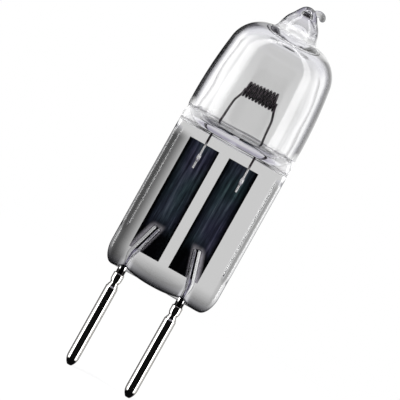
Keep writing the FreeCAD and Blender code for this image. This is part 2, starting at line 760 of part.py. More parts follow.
def leg_edges(side):
    """Return one leg's centre line, from its end of the coil down to its end on the foil."""
    middle = coil_placement()
    half_length = size(f"Sizes.coil_length / 2 - {WIRE_RADIUS}")
    start = middle.multVec(Vector(side * half_length, -side * size(COIL_RADIUS), 0))
    down = middle.Rotation.multVec(Vector(0, 0, -1))
    x = size("Sizes.filament_offset") + side * size("Sizes.leg_pitch / 2")
    y = size(f"{FOIL_FACE} - {WIRE_RADIUS} + Sizes.leg_flat_depth")
    corners = [
        start,
        start + down * size("Sizes.leg_start_length"),
        Vector(x, y, size(FOIL_TOP) + size("Sizes.leg_straight_length")),
        Vector(x, y, size(FOIL_TOP) - size("Sizes.leg_overlap")),
    ]
    radius = size("Sizes.leg_bend_radius")
    edges = []
    last = corners[0]
    for before, corner, after in zip(corners, corners[1:], corners[2:]):
        arriving, leaving = (corner - before).normalize(), (after - corner).normalize()
        half_turn = arriving.getAngle(leaving) / 2
        inward = (leaving - arriving).normalize()
        set_back = radius * math.tan(half_turn)
        bend_start, bend_end = corner - arriving * set_back, corner + leaving * set_back
        bend_middle = corner + inward * (radius / math.cos(half_turn) - radius)
        edges.append(Part.makeLine(last, bend_start))
        edges.append(Part.Arc(bend_start, bend_middle, bend_end).toShape())
        last = bend_end
    edges.append(Part.makeLine(last, corners[-1]))
    return edges


def build_wire():
    """Draw the filament's wire along both legs and the coil between them."""
    path = doc.addObject("Part::Feature", "filament_path")
    path.Shape = Part.Wire(list(reversed(leg_edges(-1))) + coil_edges() + leg_edges(1))
    section = doc.addObject("Part::RegularPolygon", "filament_section")
    section.Polygon = WIRE_SIDES
    section.setExpression("Circumradius", WIRE_RADIUS)
    section.Placement.Base = path.Shape.OrderedVertexes[0].Point
    wire = doc.addObject("Part::Sweep", "filament_wire")
    wire.Sections = [section]
    wire.Spine = (path, [f"Edge{index + 1}" for index in range(len(path.Shape.Edges))])
    wire.Solid = True
    wire.Frenet = False
    wire.Transition = "Right corner"
    doc.recompute()
    return wire


def build_weld(side):
    """Flatten the wire's end into the oval pad that the weld leaves on the foil."""
    body = new_body(f"weld_{side_name(side)}")
    body.setExpression("Placement.Base.x", f"Sizes.filament_offset + {side} * Sizes.leg_pitch / 2")
    body.setExpression("Placement.Base.z", f"{FOIL_TOP} - Sizes.weld_drop")
    half_width = size("Sizes.weld_width / 2")
    straight = size("(Sizes.weld_length - Sizes.weld_width) / 2")
    sketch = new_sketch(body, f"{body.Name}_outline", "XZ_Plane", f"-{FOIL_FACE}")
    add_loop(sketch, [
        (arc((0, straight), half_width, 0, 180), True, True),
        (line((-half_width, straight), (-half_width, -straight)), True, True),
        (arc((0, -straight), half_width, 180, 360), True, True),
        (line((half_width, -straight), (half_width, straight)), True, True),
    ])
    for edge, height in ((0, "1"), (2, "-1")):
        constrain(sketch, "PointOnObject", edge, CENTRE, VERTICAL_AXIS)
        place_y(sketch, f"({height} * (Sizes.weld_length - Sizes.weld_width) / 2)", edge, CENTRE)
    dimension(sketch, "Sizes.weld_width / 2", "Radius", 0)
    constrain(sketch, "Vertical", 1)
    pressed = pad(body, f"{body.Name}_pad", sketch, "Sizes.weld_thickness")
    front = size(FOIL_FACE) - size("Sizes.weld_thickness")

    def at_the_front(box):
        return box.YLength < CLOSE and abs(box.YMin - front) < CLOSE

    edges = edges_where(pressed, at_the_front)
    dress("PartDesign::Chamfer", body, f"{body.Name}_edge", pressed, edges, "Size", "Sizes.weld_chamfer")
    return body


def build_filament():
    """Weld the wire's two ends to the foils and press them flat against them."""
    joined = doc.addObject("Part::MultiFuse", "filament_and_welds")
    joined.Shapes = [build_wire(), build_weld(-1), build_weld(1)]
    press = doc.addObject("Part::Box", "weld_press")
    press.setExpression("Length", "2 * Sizes.capsule_diameter")
    press.setExpression("Width", "Sizes.pinch_thickness")
    press.setExpression("Height", FOIL_TOP)
    press.setExpression("Placement.Base.x", "-Sizes.capsule_diameter")
    press.setExpression("Placement.Base.y", FOIL_FACE)
    filament = doc.addObject("Part::Cut", "filament")
    filament.Base = joined
    filament.Tool = press
    doc.recompute()
    return filament


# Whole bulb

SIDES = (-1, 1)


def build_bulb():
    """Build every piece and seal the metal into the glass."""
    glass = build_blown_glass()
    foils = [build_foil(side) for side in SIDES]
    leads = [build_lead(side) for side in SIDES]
    sleeves = [build_sleeve(side) for side in SIDES]
    capillaries = [build_capillary(side) for side in SIDES]
    filament = build_filament()
    sealed_in = doc.addObject("Part::MultiFuse", "sealed_in")
    sealed_in.Shapes = foils + leads + capillaries + [filament]
    envelope = doc.addObject("Part::Cut", "quartz_envelope")
    envelope.Base = glass
    envelope.Tool = sealed_in
    doc.recompute()
    return [envelope, filament] + foils + leads + sleeves


def write_pieces(pieces):
    """Stop if anything failed; otherwise write each piece to its own file."""
    for obj in doc.Objects:
        if "Invalid" in obj.State or "Error" in obj.State:
            raise RuntimeError(f"{obj.Label} failed: {obj.State}")
    for piece in pieces:
        if piece.Shape.isNull() or not piece.Shape.isValid() or len(piece.Shape.Solids) != 1:
            raise RuntimeError(f"{piece.Label} is not one sound solid")
        piece.Shape.exportStep(os.path.join("parts", f"{piece.Label}.step"))


write_pieces(build_bulb())
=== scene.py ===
"""Halogen capsule bulb: the visual model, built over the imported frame.

Sizes are in millimetres and turned to metres where a mesh is made. X runs across the two pins, the front of
the flat pinch looks to -Y, and Z runs up the bulb's axis from the plane where the leads leave the glass.
"""
import logging
import math
from dataclasses import dataclass
from enum import Enum
from functools import partial
from typing import Callable, Sequence

import bmesh
import bpy
from mathutils import Matrix, Vector


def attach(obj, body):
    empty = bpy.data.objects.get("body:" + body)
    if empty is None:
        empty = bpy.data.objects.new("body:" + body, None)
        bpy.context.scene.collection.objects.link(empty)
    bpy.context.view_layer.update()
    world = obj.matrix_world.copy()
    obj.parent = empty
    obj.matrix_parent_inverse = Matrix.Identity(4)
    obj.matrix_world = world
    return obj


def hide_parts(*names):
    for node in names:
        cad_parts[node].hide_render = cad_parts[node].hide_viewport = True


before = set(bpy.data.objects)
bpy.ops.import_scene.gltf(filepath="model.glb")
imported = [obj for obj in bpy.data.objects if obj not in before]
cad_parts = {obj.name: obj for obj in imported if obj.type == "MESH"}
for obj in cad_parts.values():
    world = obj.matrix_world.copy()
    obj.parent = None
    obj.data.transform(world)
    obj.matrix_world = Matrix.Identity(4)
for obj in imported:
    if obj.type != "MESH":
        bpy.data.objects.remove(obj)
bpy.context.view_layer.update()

MM = 0.001
PIN_PITCH = 6.35
FOIL_FRONT = 0.38
LOG = logging.getLogger("capsule_bulb")

Point = tuple[float, float]
Band = tuple[float, float, float, float]
Ring = list[Vector]
Node = bpy.types.Node
Tree = bpy.types.NodeTree
Piece = bpy.types.Object
Adder = Callable[..., Node]


class Side(Enum):
    """The left or the right of the bulb, with the sign of its x."""

    LEFT = -1
    RIGHT = 1

    @property
    def word(self) -> str:
        """Return the side's name as nodes and pieces spell it."""
        return self.name.lower()


# Numbers and colours


def linear(colour: str) -> tuple[float, float, float, float]:
    """Turn an sRGB hex colour to linear light, with a full alpha."""
    parts = [int(colour[i:i + 2], 16) / 255 for i in (1, 3, 5)]
    return (*(p / 12.92 if p <= 0.04045 else ((p + 0.055) / 1.055) ** 2.4 for p in parts), 1.0)


def soft_max(first: float, second: float, blend: float) -> float:
    """Return the larger of two values, rounded off where they differ by less than the blend."""
    share = max(blend - abs(first - second), 0.0) / blend
    return max(first, second) + share * share * blend / 4


def ease(value: float, low: float, high: float) -> float:
    """Return 0 below low, 1 above high and a smooth step between."""
    share = min(max((value - low) / (high - low), 0.0), 1.0)
    return share * share * (3 - 2 * share)


def band(value: float, edges: Band) -> float:
    """Return 1 between two soft edges, which the four values bound from low to high, and 0 outside them."""
    return ease(value, *edges[:2]) * (1.0 - ease(value, *edges[2:]))


def round_over(past: float, radius: float) -> float:
    """Return how far a round edge has turned aside at a distance past its start."""
    return radius - math.sqrt(radius ** 2 - min(max(past, 0.0), radius) ** 2)


def full_turn(count: int) -> list[float]:
    """Return the angles that part a full turn into equal steps."""
    return [math.tau * i / count for i in range(count)]


def polar(reach: float, angle: float, height: float) -> Vector:
    """Return the point at a reach and an angle about the upright axis."""
    return Vector((reach * math.cos(angle), reach * math.sin(angle), height))


def line_points(start: Point, end: Point, steps: int) -> list[Point]:
    """Return points along a straight line cut into steps, its start left out."""
    return [tuple(a + (b - a) * i / steps for a, b in zip(start, end)) for i in range(1, steps + 1)]


def arc_points(centre: Point, radius: float, start: float, end: float, steps: int) -> list[Point]:
    """Return points along an arc cut into steps, both ends among them; start and end are in degrees."""
    angles = [math.radians(start + (end - start) * i / steps) for i in range(steps + 1)]
    return [(centre[0] + radius * math.cos(a), centre[1] + radius * math.sin(a)) for a in angles]


def smooth_through(points: Sequence[Point], steps: int) -> list[Point]:
    """Run a smooth curve through points.

    Args:
        points: the points to pass.
        steps: how many pieces each stretch is cut into.

    Returns:
        Points along the curve, the given ones among them.
    """
    padded = [points[0], *points, points[-1]]
    curve = []
    for a, b, c, d in zip(padded, padded[1:], padded[2:], padded[3:]):
        for i in range(steps):
            t = i / steps
            curve.append(tuple(
                0.5 * (2 * q + (r - p) * t + (2 * p - 5 * q + 4 * r - s) * t * t + (3 * q - p - 3 * r + s) * t ** 3)
                for p, q, r, s in zip(a, b, c, d)
            ))
    return curve + [tuple(points[-1])]


def rounded_path(corners: Sequence[Vector], radius: float, steps: int) -> list[Vector]:
    """Bend a wire's route round its corners.

    Args:
        corners: the route's ends and corners.
        radius: the bend's radius.
        steps: how many pieces each bend is cut into.

    Returns:
        Points along the route.
    """
    path = [corners[0]]
    for before, corner, after in zip(corners, corners[1:], corners[2:]):
        arriving, leaving = (corner - before).normalized(), (after - corner).normalized()
        half_turn = arriving.angle(leaving) / 2
        start = corner - arriving * radius * math.tan(half_turn)
        inward = (leaving - arriving).normalized()
        centre = corner + inward * radius / math.cos(half_turn)
        axis = arriving.cross(leaving).normalized()
        path += [
            centre + Matrix.Rotation(2 * half_turn * i / steps, 3, axis) @ (start - centre)
            for i in range(steps + 1)
        ]
    return path + [corners[-1]]


# Meshes


class Shell:
    """Vertices in millimetres and faces, gathered before they become one object."""

    def __init__(self) -> None:
        """Start with nothing."""
        self.vertices: list[Vector] = []
        self.faces: list[list[int]] = []

    def loft(self, rings: Sequence[Ring], inward: bool = False) -> None:
        """Join rings of equally many points into a skin and close both ends round a pole.

        Args:
            rings: the rings from the bottom up, each anticlockwise seen from the top.
            inward: turn the faces to the inside, as the wall of a hollow needs.
        """
        first, count = len(self.vertices), len(rings[0])
        for ring in rings:
            self.vertices += ring
        last = first + (len(rings) - 1) * count
        faces = []
        for low in range(first, last, count):
            high = low + count
            faces += [[low + i, low + (i + 1) % count, high + (i + 1) % count, high + i] for i in range(count)]
        for ring, start, turn in ((rings[0], first, -1), (rings[-1], last, 1)):
            pole = len(self.vertices)
            self.vertices.append(sum(ring, Vector()) / count)
            faces += [[pole, start + i, start + (i + 1) % count][::turn] for i in range(count)]
        self.faces += [face[::-1] for face in faces] if inward else faces

    def lathe(self, profile: Sequence[Point], centre: Point, columns: int, inward: bool = False,
              shape: Callable[[float, float, float], float] | None = None) -> None:
        """Turn a profile once round an upright axis.

        Args:
            profile: radius and height from the bottom up.
            centre: where the axis stands, in x and y.
            columns: how many sides the turned form has.
            inward: turn the faces to the inside.
            shape: gives the radius for a profile's radius, a height and an angle, where it isn't quite round.
        """
        axis = Vector((*centre, 0))
        self.loft([
            [axis + polar(shape(radius, height, a) if shape else radius, a, height) for a in full_turn(columns)]
            for radius, height in profile
        ], inward)

    def tube(self, path: Sequence[Vector], radii: Sequence[float], sides: int) -> None:
        """Run a round section along a path, closed at both ends.

        Args:
            path: points along the middle.
            radii: the radius at each point.
            sides: how many sides the section has.
        """
        rings = []
        across = Vector((0, 1, 0))
        for i, (point, radius) in enumerate(zip(path, radii)):
            ahead = (path[min(i + 1, len(path) - 1)] - path[max(i - 1, 0)]).normalized()
            across = (across - ahead * across.dot(ahead)).normalized()
            beside = ahead.cross(across)
            rings.append([point + radius * (across * math.cos(a) + beside * math.sin(a)) for a in full_turn(sides)])
        self.loft(rings)

    def join(self, mesh: bpy.types.Mesh) -> None:
        """Take in a finished mesh.

        Args:
            mesh: the mesh, whose places are in metres.
        """
        first = len(self.vertices)
        self.vertices += [v.co / MM for v in mesh.vertices]
        self.faces += [[first + i for i in p.vertices] for p in mesh.polygons]

    def to_object(self, name: str, sharp: float = 180.0) -> Piece:
        """Make one smooth-shaded object, in metres, with doubled points merged.

        Args:
            name: the piece's name.
            sharp: edges that turn by more than this many degrees stay crisp.

        Returns:
            The object, at the origin.
        """
        mesh = bpy.data.meshes.new(name)
        mesh.from_pydata([v * MM for v in self.vertices], [], self.faces)
        work = bmesh.new()
        work.from_mesh(mesh)
        bmesh.ops.remove_doubles(work, verts=work.verts, dist=1e-7)
        bmesh.ops.dissolve_degenerate(work, edges=work.edges, dist=1e-8)
        for face in work.faces:
            face.smooth = True
        for edge in work.edges:
            if edge.is_manifold and edge.calc_face_angle(0.0) > math.radians(sharp):
                edge.smooth = False
        work.to_mesh(mesh)
        work.free()
        return enter(name, mesh)


def enter(name: str, data: bpy.types.ID) -> Piece:
    """Put a new object into the scene.

    Args:
        name: its name.
        data: its mesh, lamp or camera.

    Returns:
        The object.
    """
    thing = bpy.data.objects.new(name, data)
    bpy.context.scene.collection.objects.link(thing)
    return thing


def mark_points(piece: Piece, name: str, share_at: Callable[[Vector], float]) -> None:
    """Write a share on each point of a piece, for its finish to read.

    Args:
        piece: the piece.
        name: the share's name.
        share_at: gives the share at a point in millimetres.
    """
    marks = piece.data.attributes.new(name, "FLOAT", "POINT")
    for vertex, mark in zip(piece.data.vertices, marks.data):
        mark.value = share_at(vertex.co / MM)


# Finishes

# Settings that many nodes share
STEP = {"interpolation_type": "SMOOTHSTEP"}
MIX = {"data_type": "RGBA"}
MULTIPLY = {"data_type": "RGBA", "blend_type": "MULTIPLY"}


def connect(node: Node, inputs: dict) -> None:
    """Fill a node's inputs.

    Args:
        node: the node.
        inputs: for each socket a value, the output socket that feeds it, or a node whose first live output does.
    """
    for key, value in inputs.items():
        if isinstance(value, Node):
            value = next(socket for socket in value.outputs if socket.enabled)
        if isinstance(value, bpy.types.NodeSocket):
            node.id_data.links.new(value, node.inputs[key])
        else:
            node.inputs[key].default_value = value


def add_node(tree: Tree, kind: str, settings: dict | None = None, inputs: dict | None = None) -> Node:
    """Add a node with its settings and links.

    Args:
        tree: the node tree.
        kind: the node's type.
        settings: its properties; stops gives a ramp's places and colours.
        inputs: what fills its inputs, as connect takes it.

    Returns:
        The node.
    """
    node = tree.nodes.new(kind)
    for key, value in (settings or {}).items():
        if key == "stops":
            elements = node.color_ramp.elements
            elements.remove(elements[1])
            elements[0].position = value[0][0]
            for index, (place, colour) in enumerate(value):
                element = elements.new(place) if index else elements[0]
                element.color = linear(colour) if isinstance(colour, str) else (colour, colour, colour, 1.0)
        else:
            setattr(node, key, value)
    connect(node, inputs or {})
    return node


def adder(owner: bpy.types.Material | bpy.types.World) -> Adder:
    """Empty the node tree of a material or a world.

    Args:
        owner: the material or the world.

    Returns:
        What adds a node to the tree.
    """
    owner.use_nodes = True
    owner.node_tree.nodes.clear()
    return partial(add_node, owner.node_tree)


@dataclass(frozen=True)
class Finish:
    """A material with the real surface's name and its typical values."""

    name: str
    metallic: float = 1.0
    roughness: float = 0.3

    def material(self) -> bpy.types.Material:
        """Build the material.

        Returns:
            The material, with one Principled shader at its end.
        """
        material = bpy.data.materials.new(self.name)
        add = adder(material)
        shader = add("ShaderNodeBsdfPrincipled", inputs={"Metallic": self.metallic, "Roughness": self.roughness})
        add("ShaderNodeOutputMaterial", inputs={"Surface": shader})
        self.dress(add, shader)
        return material

    def dress(self, add: Adder, shader: Node) -> None:
        """Add the surface's own pattern.

        Args:
            add: adds a node to the material's tree.
            shader: the Principled shader at its end.
        """

    def own_axes(self, add: Adder) -> Node:
        """Return a node that gives the piece's own x, y and z, in metres."""
        place = add("ShaderNodeTexCoord")
        return add("ShaderNodeSeparateXYZ", inputs={"Vector": place.outputs["Object"]})

    def stretched(self, add: Adder, size_mm: float, share: float) -> Node:
        """Return a node that scales the piece's own coordinates for a pattern.

        Args:
            add: adds a node to the material's tree.
            size_mm: the pattern's size across the piece.
            share: the size across as a share of the size along Z.

        Returns:
            The node.
        """
        place = add("ShaderNodeTexCoord")
        scale = 1 / (size_mm * MM)
        return add("ShaderNodeMapping", inputs={
            "Vector": place.outputs["Object"], "Scale": (scale, scale, scale * share),
        })


@dataclass(frozen=True)
class FusedQuartz(Finish):
    """Clear fused quartz, blown and pressed hot.

    It is colourless and very smooth. Its rims are darkened with painted shade, as far as the share rim_shade
    says, and the press and the flame leave shallow waves of a millimetre or two, which bend what is seen through
    it. More painted shade greys the pinch's bottom and sides, the crease round the hollow's floor and the tail's
    end, and a painted highlight turns the heel and the tip's foot matt and milky.
    """

    name: str = "fused_quartz_blown"
    metallic: float = 0.0
    roughness: float = 0.0
    refraction: float = 1.458
    wave_mm: float = 2.2
    wave_height_mm: float = 0.012
    matt_most: float = 0.42

    def dress(self, add: Adder, shader: Node) -> None:
        """Make it clear and slightly wavy, with painted shade at its rims and marked places and a matt painted
        highlight.

        Args:
            add: adds a node to the material's tree.
            shader: the Principled shader at its end.
        """
        shade, smoke, matt = (
            add("ShaderNodeAttribute", {"attribute_name": name}).outputs["Fac"]
            for name in ("rim_shade", "smoke", "press_mark")
        )
        # Painted highlight: marked places let less light through and show the pale base colour
        clear = add("ShaderNodeMapRange", inputs={"Value": matt, "To Min": 1.0, "To Max": 1.0 - self.matt_most})
        # Painted shade: the base colour darkens to near black at grazing angles, as far as rim_shade lets it
        rim = add("ShaderNodeLayerWeight", inputs={"Blend": 0.5})
        tint = add("ShaderNodeValToRGB", {"stops": [
            (0.0, "#fcfcfc"), (0.50, "#f4f4f6"), (0.58, "#8e8e94"), (0.66, "#161618"), (1.0, "#050505"),
        ]}, {"Fac": rim.outputs["Facing"]})
        rimmed = add("ShaderNodeMix", MIX, {0: shade, 6: linear("#fcfcfc"), 7: tint})
        # Painted shade: the marked share darkens the glass's colour towards near black
        pinch_shaded = add("ShaderNodeMix", MULTIPLY, {0: smoke, 6: rimmed, 7: linear("#101012")})
        waves = add("ShaderNodeTexNoise", inputs={
            "Vector": self.stretched(add, self.wave_mm, 0.45), "Scale": 1.0, "Detail": 1.5, "Roughness": 0.4,
        })
        bump = add("ShaderNodeBump", inputs={"Height": waves, "Strength": 1.0, "Distance": self.wave_height_mm * MM})
        connect(shader, {"Base Color": pinch_shaded, "Transmission Weight": clear, "IOR": self.refraction, "Normal": bump})


@dataclass(frozen=True)
class DrawnWire(Finish):
    """A drawn wire: fine marks run along it, so its shine breaks up along its length.

    The part that glows has grown dark; the ends, sealed into the quartz, stay as bright as they were drawn.
    """

    dark: str = "#161416"
    light: str = "#524a4f"
    sealed: str = "#fbfafb"
    sealed_roughness: float = 0.12
    sealed_mm: float = 13.7
    fade_mm: float = 0.6
    mark_mm: float = 0.12

    def dress(self, add: Adder, shader: Node) -> None:
        """Mottle the colour and the shine.

        Args:
            add: adds a node to the material's tree.
            shader: the Principled shader at its end.
        """
        marks = add("ShaderNodeTexNoise", inputs={
            "Vector": self.stretched(add, self.mark_mm, 0.2), "Scale": 1.0, "Detail": 2.0, "Roughness": 0.6,
        })
        colour = add("ShaderNodeValToRGB", {"stops": [(0.35, self.dark), (0.65, self.light)]}, {"Fac": marks})
        share = add("ShaderNodeMapRange", inputs={
            "Value": self.own_axes(add).outputs["Z"],
            "From Min": (self.sealed_mm + self.fade_mm) * MM, "From Max": self.sealed_mm * MM,
        })
        kept = add("ShaderNodeMix", MIX, {0: share, 6: colour, 7: linear(self.sealed)})
        satin = add("ShaderNodeMapRange", inputs={
            "Value": share, "To Min": self.roughness, "To Max": self.sealed_roughness,
        })
        bump = add("ShaderNodeBump", inputs={"Height": marks, "Strength": 0.4, "Distance": 0.01 * MM})
        connect(shader, {"Base Color": kept, "Roughness": satin, "Normal": bump})


@dataclass(frozen=True)
class MolybdenumFoil(Finish):
    """Etched molybdenum foil under the quartz: near black, with blue-grey streaks along its rolling direction.

    The etch thins its long edges; the colour darkens towards them and towards the lower end, where the lead is
    welded on. The streaks are drawn a quarter of a millimetre wide, coarser than the real ones, so that they
    show. Beside the lead a painted highlight flares pale and less metallic, for the shine of the thin gap that
    the glass leaves round the lead.
    """

    name: str = "molybdenum_foil_etched"
    roughness: float = 0.38
    streak_mm: float = 0.25
    cloud_mm: float = 1 / 0.45
    middle_mm: float = 2.115
    etched_mm: Point = (0.75, 1.5)
    darker_low_mm: Point = (6.4, 4.2)
    lead_line: tuple[float, float, float] = (3.15, 2.1, -0.31)
    flare_mm: Point = (0.85, 0.3)
    flare_top_mm: Point = (5.5, 4.5)
    flare_metallic: float = 0.4

    def dress(self, add: Adder, shader: Node) -> None:
        """Streak the foil along its length, cloud it with faint tints and paint a highlight flaring beside the lead.

        Args:
            add: adds a node to the material's tree.
            shader: the Principled shader at its end.
        """
        streaks = add("ShaderNodeTexNoise", inputs={
            "Vector": self.stretched(add, self.streak_mm, 0.06), "Scale": 1.0, "Detail": 4.0, "Roughness": 0.65,
        })
        colour = add("ShaderNodeValToRGB", {"stops": [
            (0.30, "#2a2e36"), (0.48, "#4c5663"), (0.62, "#77838f"), (0.80, "#a9b3bc"),
        ]}, {"Fac": streaks})
        clouds = add("ShaderNodeTexNoise", inputs={
            "Vector": self.stretched(add, self.cloud_mm, 22 / 45), "Scale": 1.0, "Detail": 1.0,
        })
        tint = add("ShaderNodeValToRGB", {"stops": [
            (0.35, "#c8b8cf"), (0.5, "#c4c8cc"), (0.65, "#b6cfc4"),
        ]}, {"Fac": clouds})
        mixed = add("ShaderNodeMix", MULTIPLY, {0: 1.0, 6: colour, 7: tint})
        axes = self.own_axes(add)
        across = add("ShaderNodeMath", {"operation": "ABSOLUTE"}, {0: axes.outputs["X"]})
        x, z, slope = self.lead_line
        lead = add("ShaderNodeMath", {"operation": "MULTIPLY_ADD"}, {
            0: axes.outputs["Z"], 1: slope, 2: (x - slope * z) * MM,
        })
        from_middle, from_lead = (
            add("ShaderNodeMath", {"operation": "ABSOLUTE"}, {
                0: add("ShaderNodeMath", {"operation": "SUBTRACT"}, {0: across, 1: line}),
            })
            for line in (self.middle_mm * MM, lead)
        )
        feathered, darker_low, near, level = (
            add("ShaderNodeMapRange", STEP, {"Value": value, "From Min": start * MM, "From Max": end * MM})
            for value, (start, end) in (
                (from_middle, self.etched_mm), (axes.outputs["Z"], self.darker_low_mm),
                (from_lead, self.flare_mm), (axes.outputs["Z"], self.flare_top_mm),
            )
        )
        # Darker towards the long edges and the lower end
        dark = add("ShaderNodeMath", {"operation": "MAXIMUM"}, {0: feathered, 1: darker_low})
        # Painted highlight: beside the lead the foil flares pale and less metallic
        flare = add("ShaderNodeMath", {"operation": "MULTIPLY"}, {0: near, 1: level})
        shaded = add("ShaderNodeMix", MULTIPLY, {0: dark, 6: mixed, 7: linear("#3a3836")})
        lit = add("ShaderNodeMix", MIX, {0: flare, 6: shaded, 7: linear("#efebf1")})
        flare_metal_share = add("ShaderNodeMapRange", inputs={
            "Value": flare, "To Min": self.metallic, "To Max": self.flare_metallic,
        })
        bump = add("ShaderNodeBump", inputs={"Height": streaks, "Strength": 0.6, "Distance": 0.02 * MM})
        connect(shader, {"Base Color": lit, "Metallic": flare_metal_share, "Normal": bump})


@dataclass(frozen=True)
class LeadWire(Finish):
    """Molybdenum wire: bright where the quartz keeps the air off, oxidised black where it stands in the air.

    Drawing it through a die leaves fine marks along it. Inside the glass its colour carries painted highlights
    on both flanks; over the foil, where it is pressed flat, its middle takes painted shade between them.
    """

    name: str = "molybdenum_wire_drawn"
    roughness: float = 0.1
    oxide_mm: Point = (-0.3, 0.1)
    pressed_mm: Point = (2.0, 2.3)
    mark_mm: float = 0.2

    def dress(self, add: Adder, shader: Node) -> None:
        """Turn the wire from oxide to bright metal at the height where it enters the glass.

        Args:
            add: adds a node to the material's tree.
            shader: the Principled shader at its end.
        """
        height = self.own_axes(add).outputs["Z"]
        bare, over_foil = (
            add("ShaderNodeMapRange", inputs={"Value": height, "From Min": start * MM, "From Max": end * MM})
            for start, end in (self.oxide_mm, self.pressed_mm)
        )
        # Painted highlights across the wire, white on both flanks, and over the foil painted shade in its middle
        across = add("ShaderNodeAttribute", {"attribute_name": "across"})
        drawn, pressed = (
            add("ShaderNodeValToRGB", {"stops": stops}, {"Fac": across.outputs["Fac"]})
            for stops in (
                [(0.25, "#a9a5b8"), (0.42, "#ffffff"), (0.92, "#ffffff"), (1.0, "#b5b3bc")],
                [(0.0, "#121113"), (0.2, "#1b1a1d"), (0.36, "#ffffff"), (0.85, "#ffffff"), (1.0, "#a5a3ac")],
            )
        )
        bright = add("ShaderNodeMix", MIX, {0: over_foil, 6: drawn, 7: pressed})
        colour = add("ShaderNodeMix", MIX, {0: bare, 6: linear("#131212"), 7: bright})
        marks = add("ShaderNodeTexNoise", inputs={
            "Vector": self.stretched(add, self.mark_mm, 0.15), "Scale": 1.0, "Detail": 3.0,
        })
        bump = add("ShaderNodeBump", inputs={"Height": marks, "Strength": 0.5, "Distance": 0.01 * MM})
        connect(shader, {"Base Color": colour, "Normal": bump})


@dataclass(frozen=True)
class NickelSleeve(Finish):
    """Nickel tube, drawn and tumbled bright: a clean mirror with faint lines along it."""

    name: str = "nickel_tube_bright"
    roughness: float = 0.07
    line_mm: float = 0.15

    def dress(self, add: Adder, shader: Node) -> None:
        """Vary the shine and the warmth a little along the drawing lines.

        Args:
            add: adds a node to the material's tree.
            shader: the Principled shader at its end.
        """
        lines = add("ShaderNodeTexNoise", inputs={
            "Vector": self.stretched(add, self.line_mm, 0.05), "Scale": 1.0, "Detail": 3.0,
        })
        colour = add("ShaderNodeValToRGB", {"stops": [(0.3, "#c2bfbb"), (0.7, "#d9d8d6")]}, {"Fac": lines})
        shine = add("ShaderNodeMapRange", inputs={
            "Value": lines, "To Min": self.roughness * 0.7, "To Max": self.roughness * 1.4,
        })
        connect(shader, {"Base Color": colour, "Roughness": shine})


def put_on(piece: Piece, finish: Finish, slot: str, *nodes: str) -> None:
    """Dress a piece and say what it stands for.

    Args:
        piece: the finished object.
        finish: its finish.
        slot: the record's material slot; not used.
        nodes: the model's nodes that it replaces.
    """
    piece.data.materials.clear()
    piece.data.materials.append(finish.material())
    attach(piece, "root")
    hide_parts(*nodes)
    LOG.info("%s: %d faces, for %s", piece.name, len(piece.data.polygons), ", ".join(nodes))


# Quartz envelope


